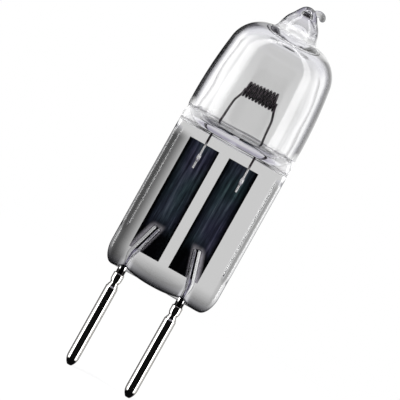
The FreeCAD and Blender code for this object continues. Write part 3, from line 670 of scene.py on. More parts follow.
@dataclass
class QuartzEnvelope:
    """The one piece of quartz: flat pinch, round capsule, exhaust tip and its hooked tail."""

    offset: float = 0.37
    width: float = 11.58
    thickness: float = 3.8
    edge_radius: float = 0.7
    end_round: float = 1.9
    end_corner: float = 1.1
    lobe_drops: tuple[float, float, float] = (0.24, 0.3, 0.26)
    notch_rise: float = 0.16
    bead_radius: float = 0.45
    bead_proud: float = 0.15
    bead_fade: Point = (2.4, 4.2)
    bead_end: Point = (14.0, 14.95)
    throat_radius: float = 0.45
    floor: float = 15.45
    pinch_top: float = 17.05
    pinch_top_radius: float = 1.2
    heel_radius: float = 1.6
    wall: float = 0.95
    cavity_floor: float = 16.35
    cavity_heel: float = 0.65
    barrel_radius: float = 45.0
    barrel_height: float = 17.6
    shoulder: tuple[float, float, float] = (2.04, 23.75, 3.3)
    channel_radius: float = 0.7
    channel_top: float = 28.0
    # where the painted shares begin and end; a third value is how far they go
    # painted shade on the pinch, in the crease round the hollow and at the tail's end
    shade_low: Point = (0.05, 2.1)
    shade_leads: Point = (0.4, 0.62)
    shade_left: tuple[float, float, float] = (-5.0, -2.9, 0.88)
    shade_right: tuple[float, float, float] = (5.35, 5.8, 0.5)
    shade_top: Point = (13.5, 14.5)
    shade_crease: tuple[float, float, float] = (-0.05, 0.5, 0.9)
    tail_shade: tuple[float, float, float] = (0.8, 1.5, 0.75)
    tail_shade_height: Point = (29.2, 29.5)
    heel_unshaded: Band = (14.7, 15.0, 16.7, 17.4)
    foot_unshaded: Band = (26.3, 26.7, 27.4, 28.0)
    # painted highlight on the heel's ends and the tip's foot
    heel_matt: Band = (15.0, 15.3, 16.3, 17.0)
    heel_under: Point = (16.0, 16.3)
    heel_ends: Point = (3.0, 4.6)
    heel_rim: Point = (4.9, 5.0)
    foot_matt: Band = (26.95, 27.15, 27.5, 28.1)
    foot_share: float = 0.8
    blend: float = 0.06
    end_rows: int = 14
    side_rows: int = 44
    quarter_columns: tuple[int, int, int, int] = (8, 18, 14, 26)
    cavity_columns: int = 160

    @property
    def half_width(self) -> float:
        """Return half the width, which is the capsule's radius too."""
        return self.width / 2

    def column_angles(self) -> list[float]:
        """Space the columns round the pinch, most closely round its soft edges and their beads.

        Returns:
            Their angles about the glass axis, in radians, anticlockwise from +X.
        """
        radius = self.edge_radius
        side, corner, face = self.thickness / 2 - radius, radius * math.pi / 2, self.half_width - radius
        near_face = 0.7  # how far the beads reach over the flat faces
        quarter = []
        stretches = ((0, side), (side, corner), (side + corner, near_face),
                     (side + corner + near_face, face - near_face))
        for run in (start + length * i / count
                    for (start, length), count in zip(stretches, self.quarter_columns) for i in range(count)):
            turn = (run - side) / radius
            if run < side:
                point = (self.half_width, run)
            elif run < side + corner:
                point = (face + radius * math.cos(turn), side + radius * math.sin(turn))
            else:
                point = (face - (run - side - corner), self.thickness / 2)
            quarter.append(math.atan2(point[1], point[0]))
        upper = quarter + [math.pi / 2] + [math.pi - a for a in quarter[:0:-1]]
        return upper + [a + math.pi for a in upper]

    def pinch_reach(self, angle: float, height: float) -> float:
        """Return how far the pinch reaches from the glass axis.

        Args:
            angle: the direction in radians.
            height: the height in millimetres.

        Returns:
            The distance to its surface.
        """
        radius = self.edge_radius
        depth = self.thickness / 2 + round_over(height - (self.floor - self.throat_radius), self.throat_radius)
        half = self.half_width - round_over(height - (self.pinch_top - self.pinch_top_radius), self.pinch_top_radius)
        c, s = abs(math.cos(angle)), abs(math.sin(angle))
        if c * depth < s * (half - radius):
            return depth / s
        if s * half < c * (depth - radius):
            return half / c
        along, away = c * (half - radius) + s * (depth - radius), c * (depth - radius) - s * (half - radius)
        return along + math.sqrt(max(radius ** 2 - away ** 2, 0))

    def beaded(self, point: Vector) -> Vector:
        """Push a point of the pinch out to the bead that the press leaves along its long edges.

        Args:
            point: a point of the plain slab, from the glass axis.

        Returns:
            The point, on the bead where that stands proud.
        """
        low, high = self.bead_fade
        bead = self.bead_radius * min(max((point.z - low) / (high - low), 0), 1) * (1 - ease(point.z, *self.bead_end))
        across = self.half_width - self.bead_radius
        deep = self.thickness / 2 + self.bead_proud - self.bead_radius
        centre = Vector((math.copysign(across, point.x), math.copysign(deep, point.y), point.z))
        away = point - centre
        return centre + away.normalized() * bead if away.length < bead else point

    def lowest(self, x: float) -> float:
        """Shape the pinch's bottom edge, with one lobe between the leads and one beside each.

        Args:
            x: the place across, from the glass axis.

        Returns:
            The edge's height.
        """
        leads = [side.value * PIN_PITCH / 2 - self.offset for side in Side]
        ends = [-self.half_width, *leads, self.half_width]
        lobe = 0 if x < leads[0] else 1 if x < leads[1] else 2
        left, right, drop = ends[lobe], ends[lobe + 1], self.lobe_drops[lobe]
        share = min(max((2 * x - left - right) / (right - left), -1), 1)
        beside_lead = lobe == 1 or (lobe == 0) == (share > 0)
        rise = self.notch_rise if beside_lead else 0.0
        return -drop + (drop + rise) * abs(share) ** 2.4

    def outer_rings(self) -> list[Ring]:
        """Build the outside from the bottom edge to the tip's crown.

        Returns:
            Its rings.
        """
        angles = self.column_angles()
        rings = []
        flat = [polar(self.pinch_reach(a, self.end_round), a, 0) for a in angles]
        ridge_half = self.half_width - self.end_corner
        for step in range(self.end_rows + 1):
            turn = math.pi / 2 * (1 - step / self.end_rows)
            ring = []
            for wall in flat:
                ridge = Vector((min(max(wall.x, -ridge_half), ridge_half), 0, 0))
                point = ridge + (wall - ridge) * math.cos(turn)
                point.z = self.lowest(point.x) + self.end_round * (1 - math.sin(turn))
                ring.append(point)
            rings.append(ring)
        throat = self.floor - self.throat_radius
        feet = [point.z for point in rings[-1]]
        for row in range(1, self.side_rows + 1):
            heights = [foot + (throat - foot) * row / self.side_rows for foot in feet]
            rings.append([self.beaded(polar(self.pinch_reach(a, z), a, z)) for a, z in zip(angles, heights)])
        for reach, z in self.outer_profile():
            pinched = z < self.pinch_top
            rings.append([
                polar(soft_max(self.pinch_reach(a, z), reach, self.blend) if pinched else reach, a, z) for a in angles
            ])
        return [[point + Vector((self.offset, 0, 0)) for point in ring] for ring in rings]

    def outer_profile(self) -> list[Point]:
        """Draw the outside above the pinch's throat.

        Returns:
            Its radius and height, from the bottom up.
        """
        throat = self.floor - self.throat_radius
        profile = [(0.0, throat + self.throat_radius * math.sin(math.radians(a))) for a in (18, 36, 54, 68, 80)]
        floor_edge = self.half_width - self.heel_radius
        inner = self.thickness / 2 + self.throat_radius
        profile += [(inner, self.floor), *line_points((inner, self.floor), (floor_edge, self.floor + 0.042), 7)[:-1]]
        profile += arc_points((floor_edge, self.floor + self.heel_radius), self.heel_radius, -88, 0, 16)
        profile += self.barrel_and_shoulder(0.0)
        tip = [
            (2.66, 27.0), (2.34, 27.06), (2.14, 27.22), (1.98, 27.6), (1.86, 28.0), (1.68, 28.45), (1.46, 28.8),
            (1.22, 29.12), (1.08, 29.35), (0.9, 29.62), (0.7, 29.87), (0.45, 30.05), (0.16, 30.14),
        ]
        return profile + smooth_through(tip, 4)

    def barrel_and_shoulder(self, inset: float) -> list[Point]:
        """Return the slightly swelling barrel and the round shoulder above it.

        Args:
            inset: how far inside the glass's outside the line runs.

        Returns:
            Radius and height, from the barrel's widest place to the shoulder's top.
        """
        x, z, radius = self.shoulder
        centre = (self.half_width - self.barrel_radius, self.barrel_height)
        turn = math.degrees(math.atan2(z - centre[1], x - centre[0]))
        barrel = arc_points(centre, self.barrel_radius - inset, 0, turn, 24)
        return barrel + arc_points((x, z), radius - inset, turn, 90 if inset else 79, 26)[1:]

    def cavity_profile(self) -> list[Point]:
        """Draw the hollow, from its floor to the exhaust channel's melted end.

        Returns:
            Its radius and height, from the bottom up.
        """
        inner = self.half_width - self.wall
        heel = (inner - self.cavity_heel, self.cavity_floor + self.cavity_heel)
        channel = self.channel_radius
        roof = self.shoulder[1] + self.shoulder[2] - self.wall
        profile = line_points((0, self.cavity_floor), (heel[0], self.cavity_floor), 8)[:-1]
        profile.append((heel[0] - 0.1, self.cavity_floor))
        profile += arc_points(heel, self.cavity_heel, -90, 0, 10)
        profile += self.barrel_and_shoulder(self.wall)
        profile += arc_points((channel + 0.25, roof + 0.25), 0.25, -90, -180, 6)
        return profile + arc_points((0, self.channel_top - channel), channel, 0, 86, 10)

    def tail(self) -> Piece:
        """Bend the drawn-out thread of glass that the melting-off leaves on the tip.

        Returns:
            The thread, as an object of its own.
        """
        shell = Shell()
        route = smooth_through([(0.25, 29.5), (0.62, 29.82), (0.98, 29.98), (1.3, 29.9), (1.44, 29.66)], 8)
        path = [Vector((self.offset + x, 0, z)) for x, z in route]
        count = len(path) - 1
        radii = [0.34 - 0.05 * i / count for i in range(count + 1)]
        last = path[-1] - path[-2]
        for share, radius in ((0.45, 0.24), (0.8, 0.15), (0.95, 0.05)):
            path.append(path[count] + last.normalized() * 0.26 * share)
            radii.append(radius)
        shell.tube(path, radii, 24)
        return shell.to_object("tail_of_glass")

    def reach_of(self, point: Vector) -> float:
        """Return a point's distance from the glass axis."""
        return math.hypot(point.x - self.offset, point.y)

    def rim_share(self, point: Vector) -> float:
        """Say how far painted shade darkens the glass's rims at a point.

        Args:
            point: a point on the glass, in millimetres.

        Returns:
            1 on the outside, less round the tip's foot, 0 in the hollow and on the heel, whose underside
            gathers the light.
        """
        reach = self.reach_of(point)
        x, z, radius = self.shoulder
        from_core = math.hypot(max(reach - x, 0.0), max(point.z - z, 0.0))
        hollow = from_core < radius - 0.25 and point.z < z + radius - self.wall + 0.3
        channel = reach < self.channel_radius + 0.4 and point.z < self.channel_top + 0.01
        if point.z > self.cavity_floor - 0.05 and (hollow or channel):
            return 0.0
        return (1.0 - band(point.z, self.heel_unshaded)) * (1.0 - self.foot_share * band(point.z, self.foot_unshaded))

    def smoke(self, point: Vector) -> float:
        """Say how far painted shade darkens the glass at a point.

        Args:
            point: a point on the glass, in millimetres.

        Returns:
            The share of painted shade: high at the pinch's bottom, except before the bright leads, and at its left
            side, low at its right edge, high in the crease round the hollow's floor and at the end of the tip's
            tail.
        """
        low = (1.0 - ease(point.z, *self.shade_low)) * ease(
            abs(abs(point.x) - PIN_PITCH / 2), *self.shade_leads)
        start, end, most = self.shade_left
        first, last, faint = self.shade_right
        side = max(most * (1.0 - ease(point.x, start, end)), faint * ease(point.x, first, last))
        side *= 1.0 - ease(point.z, *self.shade_top)
        inner, outer, creased = self.shade_crease
        past_edge = self.reach_of(point) - (self.half_width - self.wall - self.cavity_heel)
        if not (inner < past_edge < outer and abs(point.z - self.cavity_floor) < 0.2):
            creased = 0.0
        bent, tip, black = self.tail_shade
        tail_shaded = black * ease(point.x - self.offset, bent, tip) * ease(point.z, *self.tail_shade_height)
        return 1.0 - (1.0 - low) * (1.0 - side) * (1.0 - tail_shaded) * (1.0 - creased)

    def press_mark(self, point: Vector) -> float:
        """Say how far a painted highlight turns the glass matt and milky at a point.

        Args:
            point: a point on the glass, in millimetres.

        Returns:
            The share: 1 on the heel's two ends, less on the tip's foot, 0 elsewhere.
        """
        reach = self.reach_of(point)
        heel = band(point.z, self.heel_matt) * ease(abs(point.x - self.offset), *self.heel_ends)
        heel *= max(ease(reach, *self.heel_rim), 1.0 - ease(point.z, *self.heel_under))
        outside = reach >= self.channel_radius + 0.4
        return max(heel, self.foot_share * band(point.z, self.foot_matt) if outside else 0.0)

    def wavy(self, radius: float, height: float, angle: float) -> float:
        """Return the hollow's radius with the faint waves that blowing leaves."""
        return radius * (1 + 0.004 * math.sin(3 * angle + height * 0.7) + 0.003 * math.sin(5 * angle - height * 1.3))

    def build(self) -> None:
        """Build the envelope and weld the tail to it."""
        shell = Shell()
        shell.loft(self.outer_rings())
        shell.lathe(self.cavity_profile(), (self.offset, 0), self.cavity_columns, inward=True, shape=self.wavy)
        piece = shell.to_object("quartz_glass_envelope")
        tail = self.tail()
        union = piece.modifiers.new("weld_tail", "BOOLEAN")
        union.operation = "UNION"
        union.solver = "EXACT"
        union.object = tail
        piece.data = evaluated_mesh(piece)
        bpy.data.objects.remove(tail)
        for polygon in piece.data.polygons:
            polygon.use_smooth = True
        # Shares on the points for the painted shade on the rims and the pinch, and for the painted highlight
        for name, share_at in (("rim_shade", self.rim_share), ("smoke", self.smoke), ("press_mark", self.press_mark)):
            mark_points(piece, name, share_at)
        put_on(piece, FusedQuartz(), "quartz_glass", "quartz_envelope")


def evaluated_mesh(piece: Piece) -> bpy.types.Mesh:
    """Apply an object's modifiers and clear them.

    Args:
        piece: the object.

    Returns:
        Its finished form as a plain mesh.
    """
    graph = bpy.context.evaluated_depsgraph_get()
    mesh = bpy.data.meshes.new_from_object(piece.evaluated_get(graph))
    piece.modifiers.clear()
    return mesh


# Metal sealed into the glass


@dataclass
class OuterLead:
    """One molybdenum lead: up from the pin's bore, a soft bend, and in over the foil, where it is pressed flat."""

    side: Side
    diameter: float = 0.88
    top_pitch: float = 4.3
    bottom: float = -4.9
    bend_height: float = 1.2
    bend_radius: float = 2.4
    top: float = 5.0
    pressed_from: float = 2.0
    low_end: float = 0.9
    high_end: tuple[float, float, float] = (0.97, 0.88, 0.72)

    def route(self) -> list[Vector]:
        """Lead the wire up, round its bend and in over the foil.

        Returns:
            Points along its middle.
        """
        x, target = PIN_PITCH / 2, (self.top_pitch / 2, self.top)
        centre = (x - self.bend_radius, self.bend_height)
        across, up = target[0] - centre[0], target[1] - centre[1]
        turn = math.degrees(math.atan2(up, across) - math.acos(self.bend_radius / math.hypot(across, up)))
        bend = arc_points(centre, self.bend_radius, 0, turn, 10)
        straight = [(x, self.bottom), *line_points((x, self.bottom), (x, self.bend_height), 12)[:-1]]
        over = line_points(bend[-1], target, 64)
        return [Vector((self.side.value * px, 0, pz)) for px, pz in straight + bend + over]

    def build(self) -> None:
        """Build the lead."""
        shell = Shell()
        path = self.route()
        shares = [self.low_end] + [1.0] * (len(path) - 4) + [*self.high_end]
        radii = [self.diameter / 2 * share for share in shares]
        shell.tube(path, radii, 40)
        for vertex in shell.vertices:
            if vertex.z > self.pressed_from:
                vertex.y = min(vertex.y, FOIL_FRONT)
        piece = shell.to_object(f"outer_lead_wire_{self.side.word}", sharp=50)

        def across(point: Vector) -> float:
            """Return how far a point lies from the wire's middle, 1 at its flanks."""
            here = min(path, key=lambda place: abs(place.z - point.z))
            return min(abs(point.x - here.x) / (self.diameter / 2), 1.0)

        mark_points(piece, "across", across)
        put_on(piece, LeadWire(), "molybdenum_wire", f"outer_lead_{self.side.word}")


@dataclass
class Foil:
    """One sealing foil: a thin strip whose long edges are etched down to nothing."""

    side: Side
    width: float = 3.15
    gap: float = 1.08
    low: float = 2.1
    high: float = 14.0
    thickness: float = 0.03
    feather: float = 0.2
    edge_share: float = 0.25
    ripple: float = 0.003

    def build(self) -> None:
        """Build the foil."""
        shell = Shell()
        rings = []
        columns, rows = 14, 70
        inner = self.gap / 2
        for row in range(rows + 1):
            z = self.low + (self.high - self.low) * row / rows
            front, back = [], []
            for column in range(columns + 1):
                share = column / columns
                edge = min(share, 1 - share) * self.width
                x = self.side.value * (inner + self.width * share)
                half = self.thickness / 2 * (self.edge_share + (1 - self.edge_share) * min(edge / self.feather, 1))
                ripple = self.ripple * math.sin(2.1 * z + 3 * share) * math.sin(math.pi * share)
                middle = FOIL_FRONT + self.thickness / 2 + ripple
                front.append(Vector((x, middle - half, z)))
                back.append(Vector((x, middle + half, z)))
            rings.append(front + back[::-1] if self.side is Side.RIGHT else front[::-1] + back)
        shell.loft(rings)
        piece = shell.to_object(f"molybdenum_foil_{self.side.word}", sharp=60)
        put_on(piece, MolybdenumFoil(), "molybdenum_foil", f"foil_{self.side.word}")


@dataclass
class Filament:
    """One tungsten wire: a close coil across the capsule, two legs, and their welded ends on the foils."""

    wire_radius: float = 0.12
    coil_wire_radius: float = 0.14
    coil_radius: float = 0.735
    coil_length: float = 3.27
    turns: float = 9.5
    centre: tuple[float, float, float] = (0.28, 0.0, 20.6)
    tilt: float = 2.5
    leg_pitch: float = 4.66
    leg_y: float = 0.29
    leg_start: float = 0.45
    leg_swell: Point = (19.0, 2.04)
    leg_top: float = 16.6
    leg_low: float = 11.5
    leg_bend: float = 2.0
    foil_top: float = 14.0
    weld_height: float = 12.6
    weld_size: tuple[float, float, float] = (0.25, 0.3, 0.475)
    steps_per_turn: int = 28
    sides: int = 12

    def coil_tree(self) -> Tree:
        """Build the node tree that winds a wire into a coil along its axis.

        Returns:
            The tree, with its sizes as named inputs.
        """
        tree = bpy.data.node_groups.new("wound_coil", "GeometryNodeTree")
        face = tree.interface
        face.new_socket("Geometry", in_out="OUTPUT", socket_type="NodeSocketGeometry")
        kinds = {
            "Float": ("Turns", "Coil Radius", "Length", "Wire Radius"), "Int": ("Steps per Turn", "Wire Sides"),
            "Vector": ("Turned", "Centre"), "Material": ("Material",),
        }
        for kind, names in kinds.items():
            for name in names:
                face.new_socket(name, in_out="INPUT", socket_type=f"NodeSocket{kind}")
        add = partial(add_node, tree)
        given = add("NodeGroupInput").outputs
        spiral = add("GeometryNodeCurveSpiral", inputs={
            "Resolution": given["Steps per Turn"], "Rotations": given["Turns"],
            "Start Radius": given["Coil Radius"], "End Radius": given["Coil Radius"], "Height": given["Length"],
        })
        half = add("ShaderNodeMath", {"operation": "MULTIPLY"}, {0: given["Length"], 1: -0.5})
        back = add("ShaderNodeCombineXYZ", inputs={"Z": half})
        centred = add("GeometryNodeTransform", inputs={"Geometry": spiral, "Translation": back})
        section = add("GeometryNodeCurvePrimitiveCircle", inputs={
            "Resolution": given["Wire Sides"], "Radius": given["Wire Radius"],
        })
        wire = add("GeometryNodeCurveToMesh", inputs={"Curve": centred, "Profile Curve": section, "Fill Caps": True})
        placed = add("GeometryNodeTransform", inputs={
            "Geometry": wire, "Translation": given["Centre"], "Rotation": given["Turned"],
        })
        real = add("GeometryNodeRealizeInstances", inputs={"Geometry": placed})
        dressed = add("GeometryNodeSetMaterial", inputs={"Geometry": real, "Material": given["Material"]})
        add("NodeGroupOutput", inputs={"Geometry": dressed})
        return tree

    @property
    def lean(self) -> Matrix:
        """Return the turn that leans the coil up to the right."""
        return Matrix.Rotation(-math.radians(self.tilt), 3, "Y")

    def wind(self, material: bpy.types.Material) -> bpy.types.Mesh:
        """Run the coil's tree once.

        Args:
            material: the wire's material.

        Returns:
            The coil as a plain mesh, in metres.
        """
        tree = self.coil_tree()
        lying = Matrix.Rotation(math.pi / 2, 3, "Y") @ Matrix.Rotation(math.pi / 2, 3, "Z")
        carrier = enter("coil_carrier", bpy.data.meshes.new("coil_carrier"))
        modifier = carrier.modifiers.new("wound_coil", "NODES")
        modifier.node_group = tree
        values = {
            "Turns": self.turns, "Coil Radius": self.coil_radius * MM, "Length": self.coil_length * MM,
            "Wire Radius": self.coil_wire_radius * MM, "Steps per Turn": self.steps_per_turn, "Wire Sides": self.sides,
            "Turned": tuple((self.lean @ lying).to_euler()), "Centre": tuple(c * MM for c in self.centre),
            "Material": material,
        }
        for socket in tree.interface.items_tree:
            if socket.in_out == "INPUT":
                modifier[socket.identifier] = values[socket.name]
        mesh = evaluated_mesh(carrier)
        bpy.data.objects.remove(carrier)
        return mesh

    def leg(self, side: Side) -> list[Vector]:
        """Lead one leg from its end of the coil down to its end on the foil.

        Args:
            side: the leg's side.

        Returns:
            Points along its middle.
        """
        start = Vector(self.centre) + self.lean @ Vector((self.coil_length / 2, -self.coil_radius, 0)) * side.value
        x = self.centre[0] + side.value * self.leg_pitch / 2
        height, reach = self.leg_swell
        turn_down = start + self.lean @ Vector((0, 0, -self.leg_start))
        share = (turn_down.z - height) / (turn_down.z - self.leg_top)
        corners = [
            start, turn_down,
            Vector((self.centre[0] + side.value * reach, turn_down.y + share * (self.leg_y - turn_down.y), height)),
            Vector((x, self.leg_y, self.leg_top)), Vector((x, self.leg_y, self.leg_low)),
        ]
        return rounded_path(corners, self.leg_bend, 12)

    def weld(self, shell: Shell, side: Side) -> None:
        """Press the wire's end into an oval pad against the foil.

        Args:
            shell: takes the pad.
            side: the pad's side.
        """
        half_width, depth, half_length = self.weld_size
        x = self.centre[0] + side.value * self.leg_pitch / 2
        rings = []
        for step in range(13):
            turn = math.radians(-84 + 168 * step / 12)
            reach = abs(math.cos(turn)) ** 0.6
            z = self.weld_height + half_length * math.sin(turn)
            rings.append([
                Vector((x + half_width * reach * math.cos(a), FOIL_FRONT - depth * reach * max(-math.sin(a), 0), z))
                for a in full_turn(24)
            ])
        shell.loft(rings)

    def build(self) -> None:
        """Build the whole filament."""
        finish = DrawnWire("tungsten_wire_drawn")
        shell = Shell()
        shell.join(self.wind(finish.material()))
        for side in Side:
            path = self.leg(side)
            first = len(shell.vertices)
            shell.tube(path, [self.wire_radius] * len(path), 14)
            for vertex in shell.vertices[first:]:
                if vertex.z < self.foil_top:
                    vertex.y = min(vertex.y, FOIL_FRONT)
            self.weld(shell, side)
        piece = shell.to_object("tungsten_filament", sharp=55)
        put_on(piece, finish, "tungsten", "filament")


# Pins


@dataclass
class PinSleeve:
    """One nickel pin: a drilled tube with a round nose, pinched on to its lead below a short collar."""

    side: Side
    radius: float = 0.625
    lead_radius: float = 0.44
    top: float = -0.7
    collar_radius: float = 0.56
    collar_length: float = 0.9
    crimp_length: float = 0.5
    crimp_depth: float = 0.13
    barrel_end: float = -9.7
    nose_length: float = 0.95
    nose_flat: float = 0.225
    bore_end: float = -5.3

    def profile(self) -> list[Point]:
        """Draw the pin's outside, from the nose up, and its bore, from the top down.

        Returns:
            Its radius and height.
        """
        step = self.radius - self.nose_flat
        nose = (step * step + self.nose_length ** 2) / (2 * step)
        turn = math.degrees(math.asin(self.nose_length / nose))
        tip = self.barrel_end - self.nose_length
        outside = [(self.nose_flat * 0.5, tip), (self.nose_flat * 0.85, tip + 0.01)]
        outside += arc_points((self.radius - nose, self.barrel_end), nose, -turn, 0, 14)
        crimp_low = self.top - self.collar_length - self.crimp_length
        outside += line_points((self.radius, self.barrel_end), (self.radius, crimp_low - 0.12), 26)
        outside += [(self.radius - 0.03, crimp_low - 0.05), (self.collar_radius, crimp_low)]
        outside += line_points((self.collar_radius, crimp_low), (self.collar_radius, self.top - 0.07), 18)
        outside += [(self.collar_radius - 0.02, self.top - 0.02), (self.collar_radius - 0.06, self.top)]
        bore = [(self.lead_radius + 0.03, self.top), (self.lead_radius, self.top - 0.04), (self.lead_radius, -2.0)]
        return outside + bore + [(self.lead_radius, self.bore_end), (0.2, self.bore_end - 0.15)]

    def pinched(self, radius: float, height: float, angle: float) -> float:
        """Return the radius where the crimping jaws have pressed four dents round the neck.

        Args:
            radius: the turned radius.
            height: the height.
            angle: the direction.

        Returns:
            The pressed radius.
        """
        if radius <= self.lead_radius + 0.05:
            return radius
        middle = self.top - self.collar_length - self.crimp_length / 2 + 0.1
        near = math.exp(-((height - middle) / 0.2) ** 2)
        upper = math.exp(-((height - self.top + 0.42) / 0.25) ** 2)
        dents = 0.5 + 0.5 * math.cos(2 * angle)
        crossed = 0.5 - 0.5 * math.cos(2 * angle)
        return radius - self.crimp_depth * near * (0.35 + 0.65 * dents) - 0.05 * upper * crossed

    def build(self) -> None:
        """Build the pin."""
        shell = Shell()
        shell.lathe(self.profile(), (self.side.value * PIN_PITCH / 2, 0), 64, shape=self.pinched)
        piece = shell.to_object(f"nickel_pin_{self.side.word}", sharp=50)
        put_on(piece, NickelSleeve(), "nickel", f"pin_sleeve_{self.side.word}")


# Studio


@dataclass
class Studio:
    """A white sweep, a soft panorama of light for the glass and the metal, and the photograph's view.

    The panorama's stops pair a bearing, in turns from the front by the left, with its grey. Its floor and its
    roof begin and end at the sine of a ray's height.
    """

    floor_height: float = -10.66
    floor_radius: float = 130.0
    target: tuple[float, float, float] = (0.05, 0.0, 9.15)
    frame_width: float = 37.9
    elevation: float = 4.1
    roll: float = 29.3
    lens: float = 300.0
    sensor: float = 36.0
    shadow_mm: Point = (25.0, 100.0)
    shadow_white: float = 0.82
    seen_floor: Point = (-0.14, -0.3)
    mirrored_floor: Point = (-0.3, -0.5)
    roof: Point = (0.25, 0.42)
    through_strength: float = 1.32
    softbox_strength: float = 8.0
    through_glass: tuple[Point, ...] = (
        (0.05, 0.22), (0.08, 0.03), (0.105, 0.03), (0.125, 1.0), (0.33, 1.0), (0.337, 0.04), (0.35, 0.04),
        (0.36, 0.9), (0.455, 0.9), (0.475, 0.54), (0.488, 0.48), (0.515, 0.48), (0.53, 0.6), (0.55, 0.8),
        (0.64, 0.8), (0.65, 0.05), (0.665, 0.05), (0.68, 1.0), (0.87, 1.0), (0.89, 0.03), (0.92, 0.03), (0.95, 0.22),
    )
    mirrored: tuple[Point, ...] = (
        (0.152, 0.001), (0.165, 0.4), (0.182, 1.0), (0.222, 1.0), (0.237, 0.1), (0.33, 0.1), (0.345, 0.002),
        (0.47, 0.002), (0.485, 0.05), (0.50, 0.05), (0.52, 0.16), (0.61, 0.16), (0.63, 0.002), (0.655, 0.002),
        (0.67, 0.11), (0.76, 0.11), (0.785, 0.12), (0.802, 0.8), (0.842, 1.0), (0.852, 0.001),
    )

    def build_floor(self) -> None:
        """Lay the pale floor, which keeps the object's soft shadow."""
        shell = Shell()
        radius, height = self.floor_radius, self.floor_height
        shell.lathe([(radius, height - 1), (radius, height - 0.1), (radius - 0.1, height)], (0, 0), 96)
        floor = shell.to_object("studio_floor", sharp=30)
        # Board rolled with pale matt paint: no shine of its own, so it shows only the soft shadow, and away
        # from that it fades to the backdrop's white. Seen through the glass it shows painted grey rings instead,
        # painted light and shade of a studio round the object
        material = bpy.data.materials.new("painted_board_pale")
        add = adder(material)
        rays = add("ShaderNodeLightPath").outputs
        place = add("ShaderNodeTexCoord")
        away = add("ShaderNodeVectorMath", {"operation": "LENGTH"}, {0: place.outputs["Object"]})
        fade = add("ShaderNodeMapRange", STEP, {
            "Value": away, "From Min": self.shadow_mm[0] * MM, "From Max": self.shadow_mm[1] * MM,
            "To Min": self.shadow_white, "To Max": 1.0,
        })
        spread = add("ShaderNodeMapRange", inputs={"Value": away, "From Max": self.floor_radius * MM})
        paint = add("ShaderNodeBsdfDiffuse", inputs={"Color": linear("#e9e9ea")})
        white = add("ShaderNodeEmission", inputs={"Color": linear("#ffffff"), "Strength": 1.0})
        # Painted light and shade: grey rings that glow for rays through the glass
        painted_rings = add("ShaderNodeValToRGB", {"stops": [
            (0.0, "#f2f2f5"), (0.16, "#ebebf0"), (0.24, "#a19eae"), (0.36, "#b4b1be"), (0.5, "#d6d5da"),
            (0.8, "#d0d0d3"),
        ]}, {"Fac": spread})
        grey = add("ShaderNodeEmission", inputs={"Color": painted_rings, "Strength": 1.0})
        share = add("ShaderNodeMath", {"operation": "MULTIPLY"}, {0: rays["Is Camera Ray"], 1: fade})
        direct = add("ShaderNodeMixShader", inputs={0: share, 1: paint, 2: white})
        seen = add("ShaderNodeMixShader", inputs={0: rays["Is Transmission Ray"], 1: direct, 2: grey})
        add("ShaderNodeOutputMaterial", inputs={"Surface": seen})
        floor.data.materials.append(material)
        floor.visible_glossy = False

    def build_world(self) -> None:
        """Paint the studio round the object: white to the camera, soft boxes and dark gaps to glass and metal."""
        world = bpy.data.worlds.new("soft_studio")
        bpy.context.scene.world = world
        add = adder(world)
        rays = add("ShaderNodeLightPath").outputs
        place = add("ShaderNodeTexCoord")
        axes = add("ShaderNodeSeparateXYZ", inputs={"Vector": place.outputs["Generated"]}).outputs
        bearing = add("ShaderNodeMath", {"operation": "ARCTAN2"}, {0: axes["X"], 1: axes["Y"]})
        turn = add("ShaderNodeMath", {"operation": "MULTIPLY_ADD"}, {0: bearing, 1: 1 / math.tau, 2: 0.5})
        clear, bright = (
            add("ShaderNodeVectorMath", {"operation": "SCALE"}, {
                0: add("ShaderNodeValToRGB", {"stops": stops}, {"Fac": turn}), "Scale": strength,
            })
            for stops, strength in (
                (self.through_glass, self.through_strength), (self.mirrored, self.softbox_strength),
            )
        )
        sink, under, rise = (
            add("ShaderNodeMapRange", inputs={"Value": axes["Z"], "From Min": start, "From Max": end})
            for start, end in (self.seen_floor, self.mirrored_floor, self.roof)
        )
        # Through the glass the floor's grey shows below and a pale roof above
        for share, colour in ((sink, "#cdcdcf"), (rise, "#ececf0")):
            clear = add("ShaderNodeMix", MIX, {0: share, 6: clear, 7: linear(colour)})
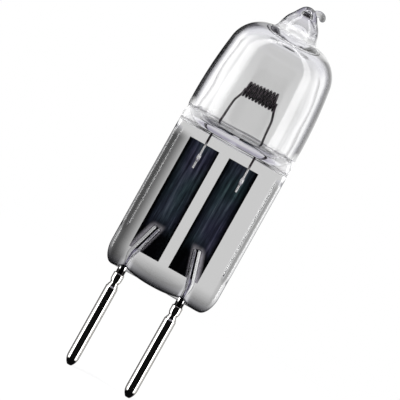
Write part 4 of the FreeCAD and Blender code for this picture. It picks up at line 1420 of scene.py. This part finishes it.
        # Metal and the glass's own shine see a dark floor and a dim roof; matt surfaces see an even grey
        sunk = add("ShaderNodeMix", MIX, {0: under, 6: bright, 7: linear("#101011")})
        lifted = add("ShaderNodeMix", {"data_type": "RGBA", "blend_type": "LIGHTEN"}, {
            0: rise, 6: sunk, 7: linear("#a3a1ac"),
        })
        shiny = add("ShaderNodeMix", MIX, {0: rays["Is Diffuse Ray"], 6: lifted, 7: linear("#d4d4d6")})
        around = add("ShaderNodeMix", MIX, {0: rays["Is Transmission Ray"], 6: shiny, 7: clear})
        seen = add("ShaderNodeMix", MIX, {0: rays["Is Camera Ray"], 6: around, 7: linear("#ffffff")})
        background = add("ShaderNodeBackground", inputs={"Color": seen, "Strength": 1.0})
        add("ShaderNodeOutputWorld", inputs={"Surface": background})

    def build_lamps(self) -> None:
        """Hang two large soft lamps, one above to the left and a weaker one to the right."""
        for name, place, power, width in (
            ("key_softbox", (-160, -120, 210), 0.55, 130), ("fill_softbox", (190, -60, 120), 0.25, 110),
        ):
            data = bpy.data.lights.new(name, "AREA")
            data.energy = power
            data.shape = "RECTANGLE"
            data.size = data.size_y = width * MM
            lamp = enter(name, data)
            lamp.visible_glossy = lamp.visible_transmission = False
            spot = Vector(place) * MM
            lamp.matrix_world = Matrix.Translation(spot) @ (
                Vector(self.target) * MM - spot).to_track_quat("-Z", "Y").to_matrix().to_4x4()

    def build_camera(self) -> None:
        """Set the photograph's view: a long lens from the front, tipped so that the bulb leans to the right."""
        data = bpy.data.cameras.new("photo_view")
        data.lens = self.lens
        data.sensor_width = self.sensor
        distance = self.frame_width * self.lens / self.sensor
        data.clip_start = 10 * MM
        data.clip_end = 5000 * MM
        camera = enter("photo_view", data)
        tip = math.radians(self.elevation)
        back = Vector((0, -math.cos(tip), math.sin(tip)))
        right = Vector((1, 0, 0))
        upright = Matrix((right, back.cross(right), back)).transposed().to_4x4()
        camera.matrix_world = (
            Matrix.Translation((Vector(self.target) + back * distance) * MM)
            @ upright @ Matrix.Rotation(math.radians(self.roll), 4, "Z")
        )
        bpy.context.scene.camera = camera

    def build(self) -> None:
        """Set up the whole studio."""
        self.build_camera()
        self.build_floor()
        self.build_world()
        self.build_lamps()
        bpy.context.scene.view_settings.view_transform = "Standard"
        LOG.info("studio: floor, world, lamps and camera")


def main() -> None:
    """Build the bulb piece by piece and set up its studio."""
    logging.basicConfig(level=logging.INFO, format="%(message)s")
    Studio().build()
    QuartzEnvelope().build()
    for side in Side:
        Foil(side).build()
        OuterLead(side).build()
        PinSleeve(side).build()
    Filament().build()


if __name__ == "__main__":
    main()
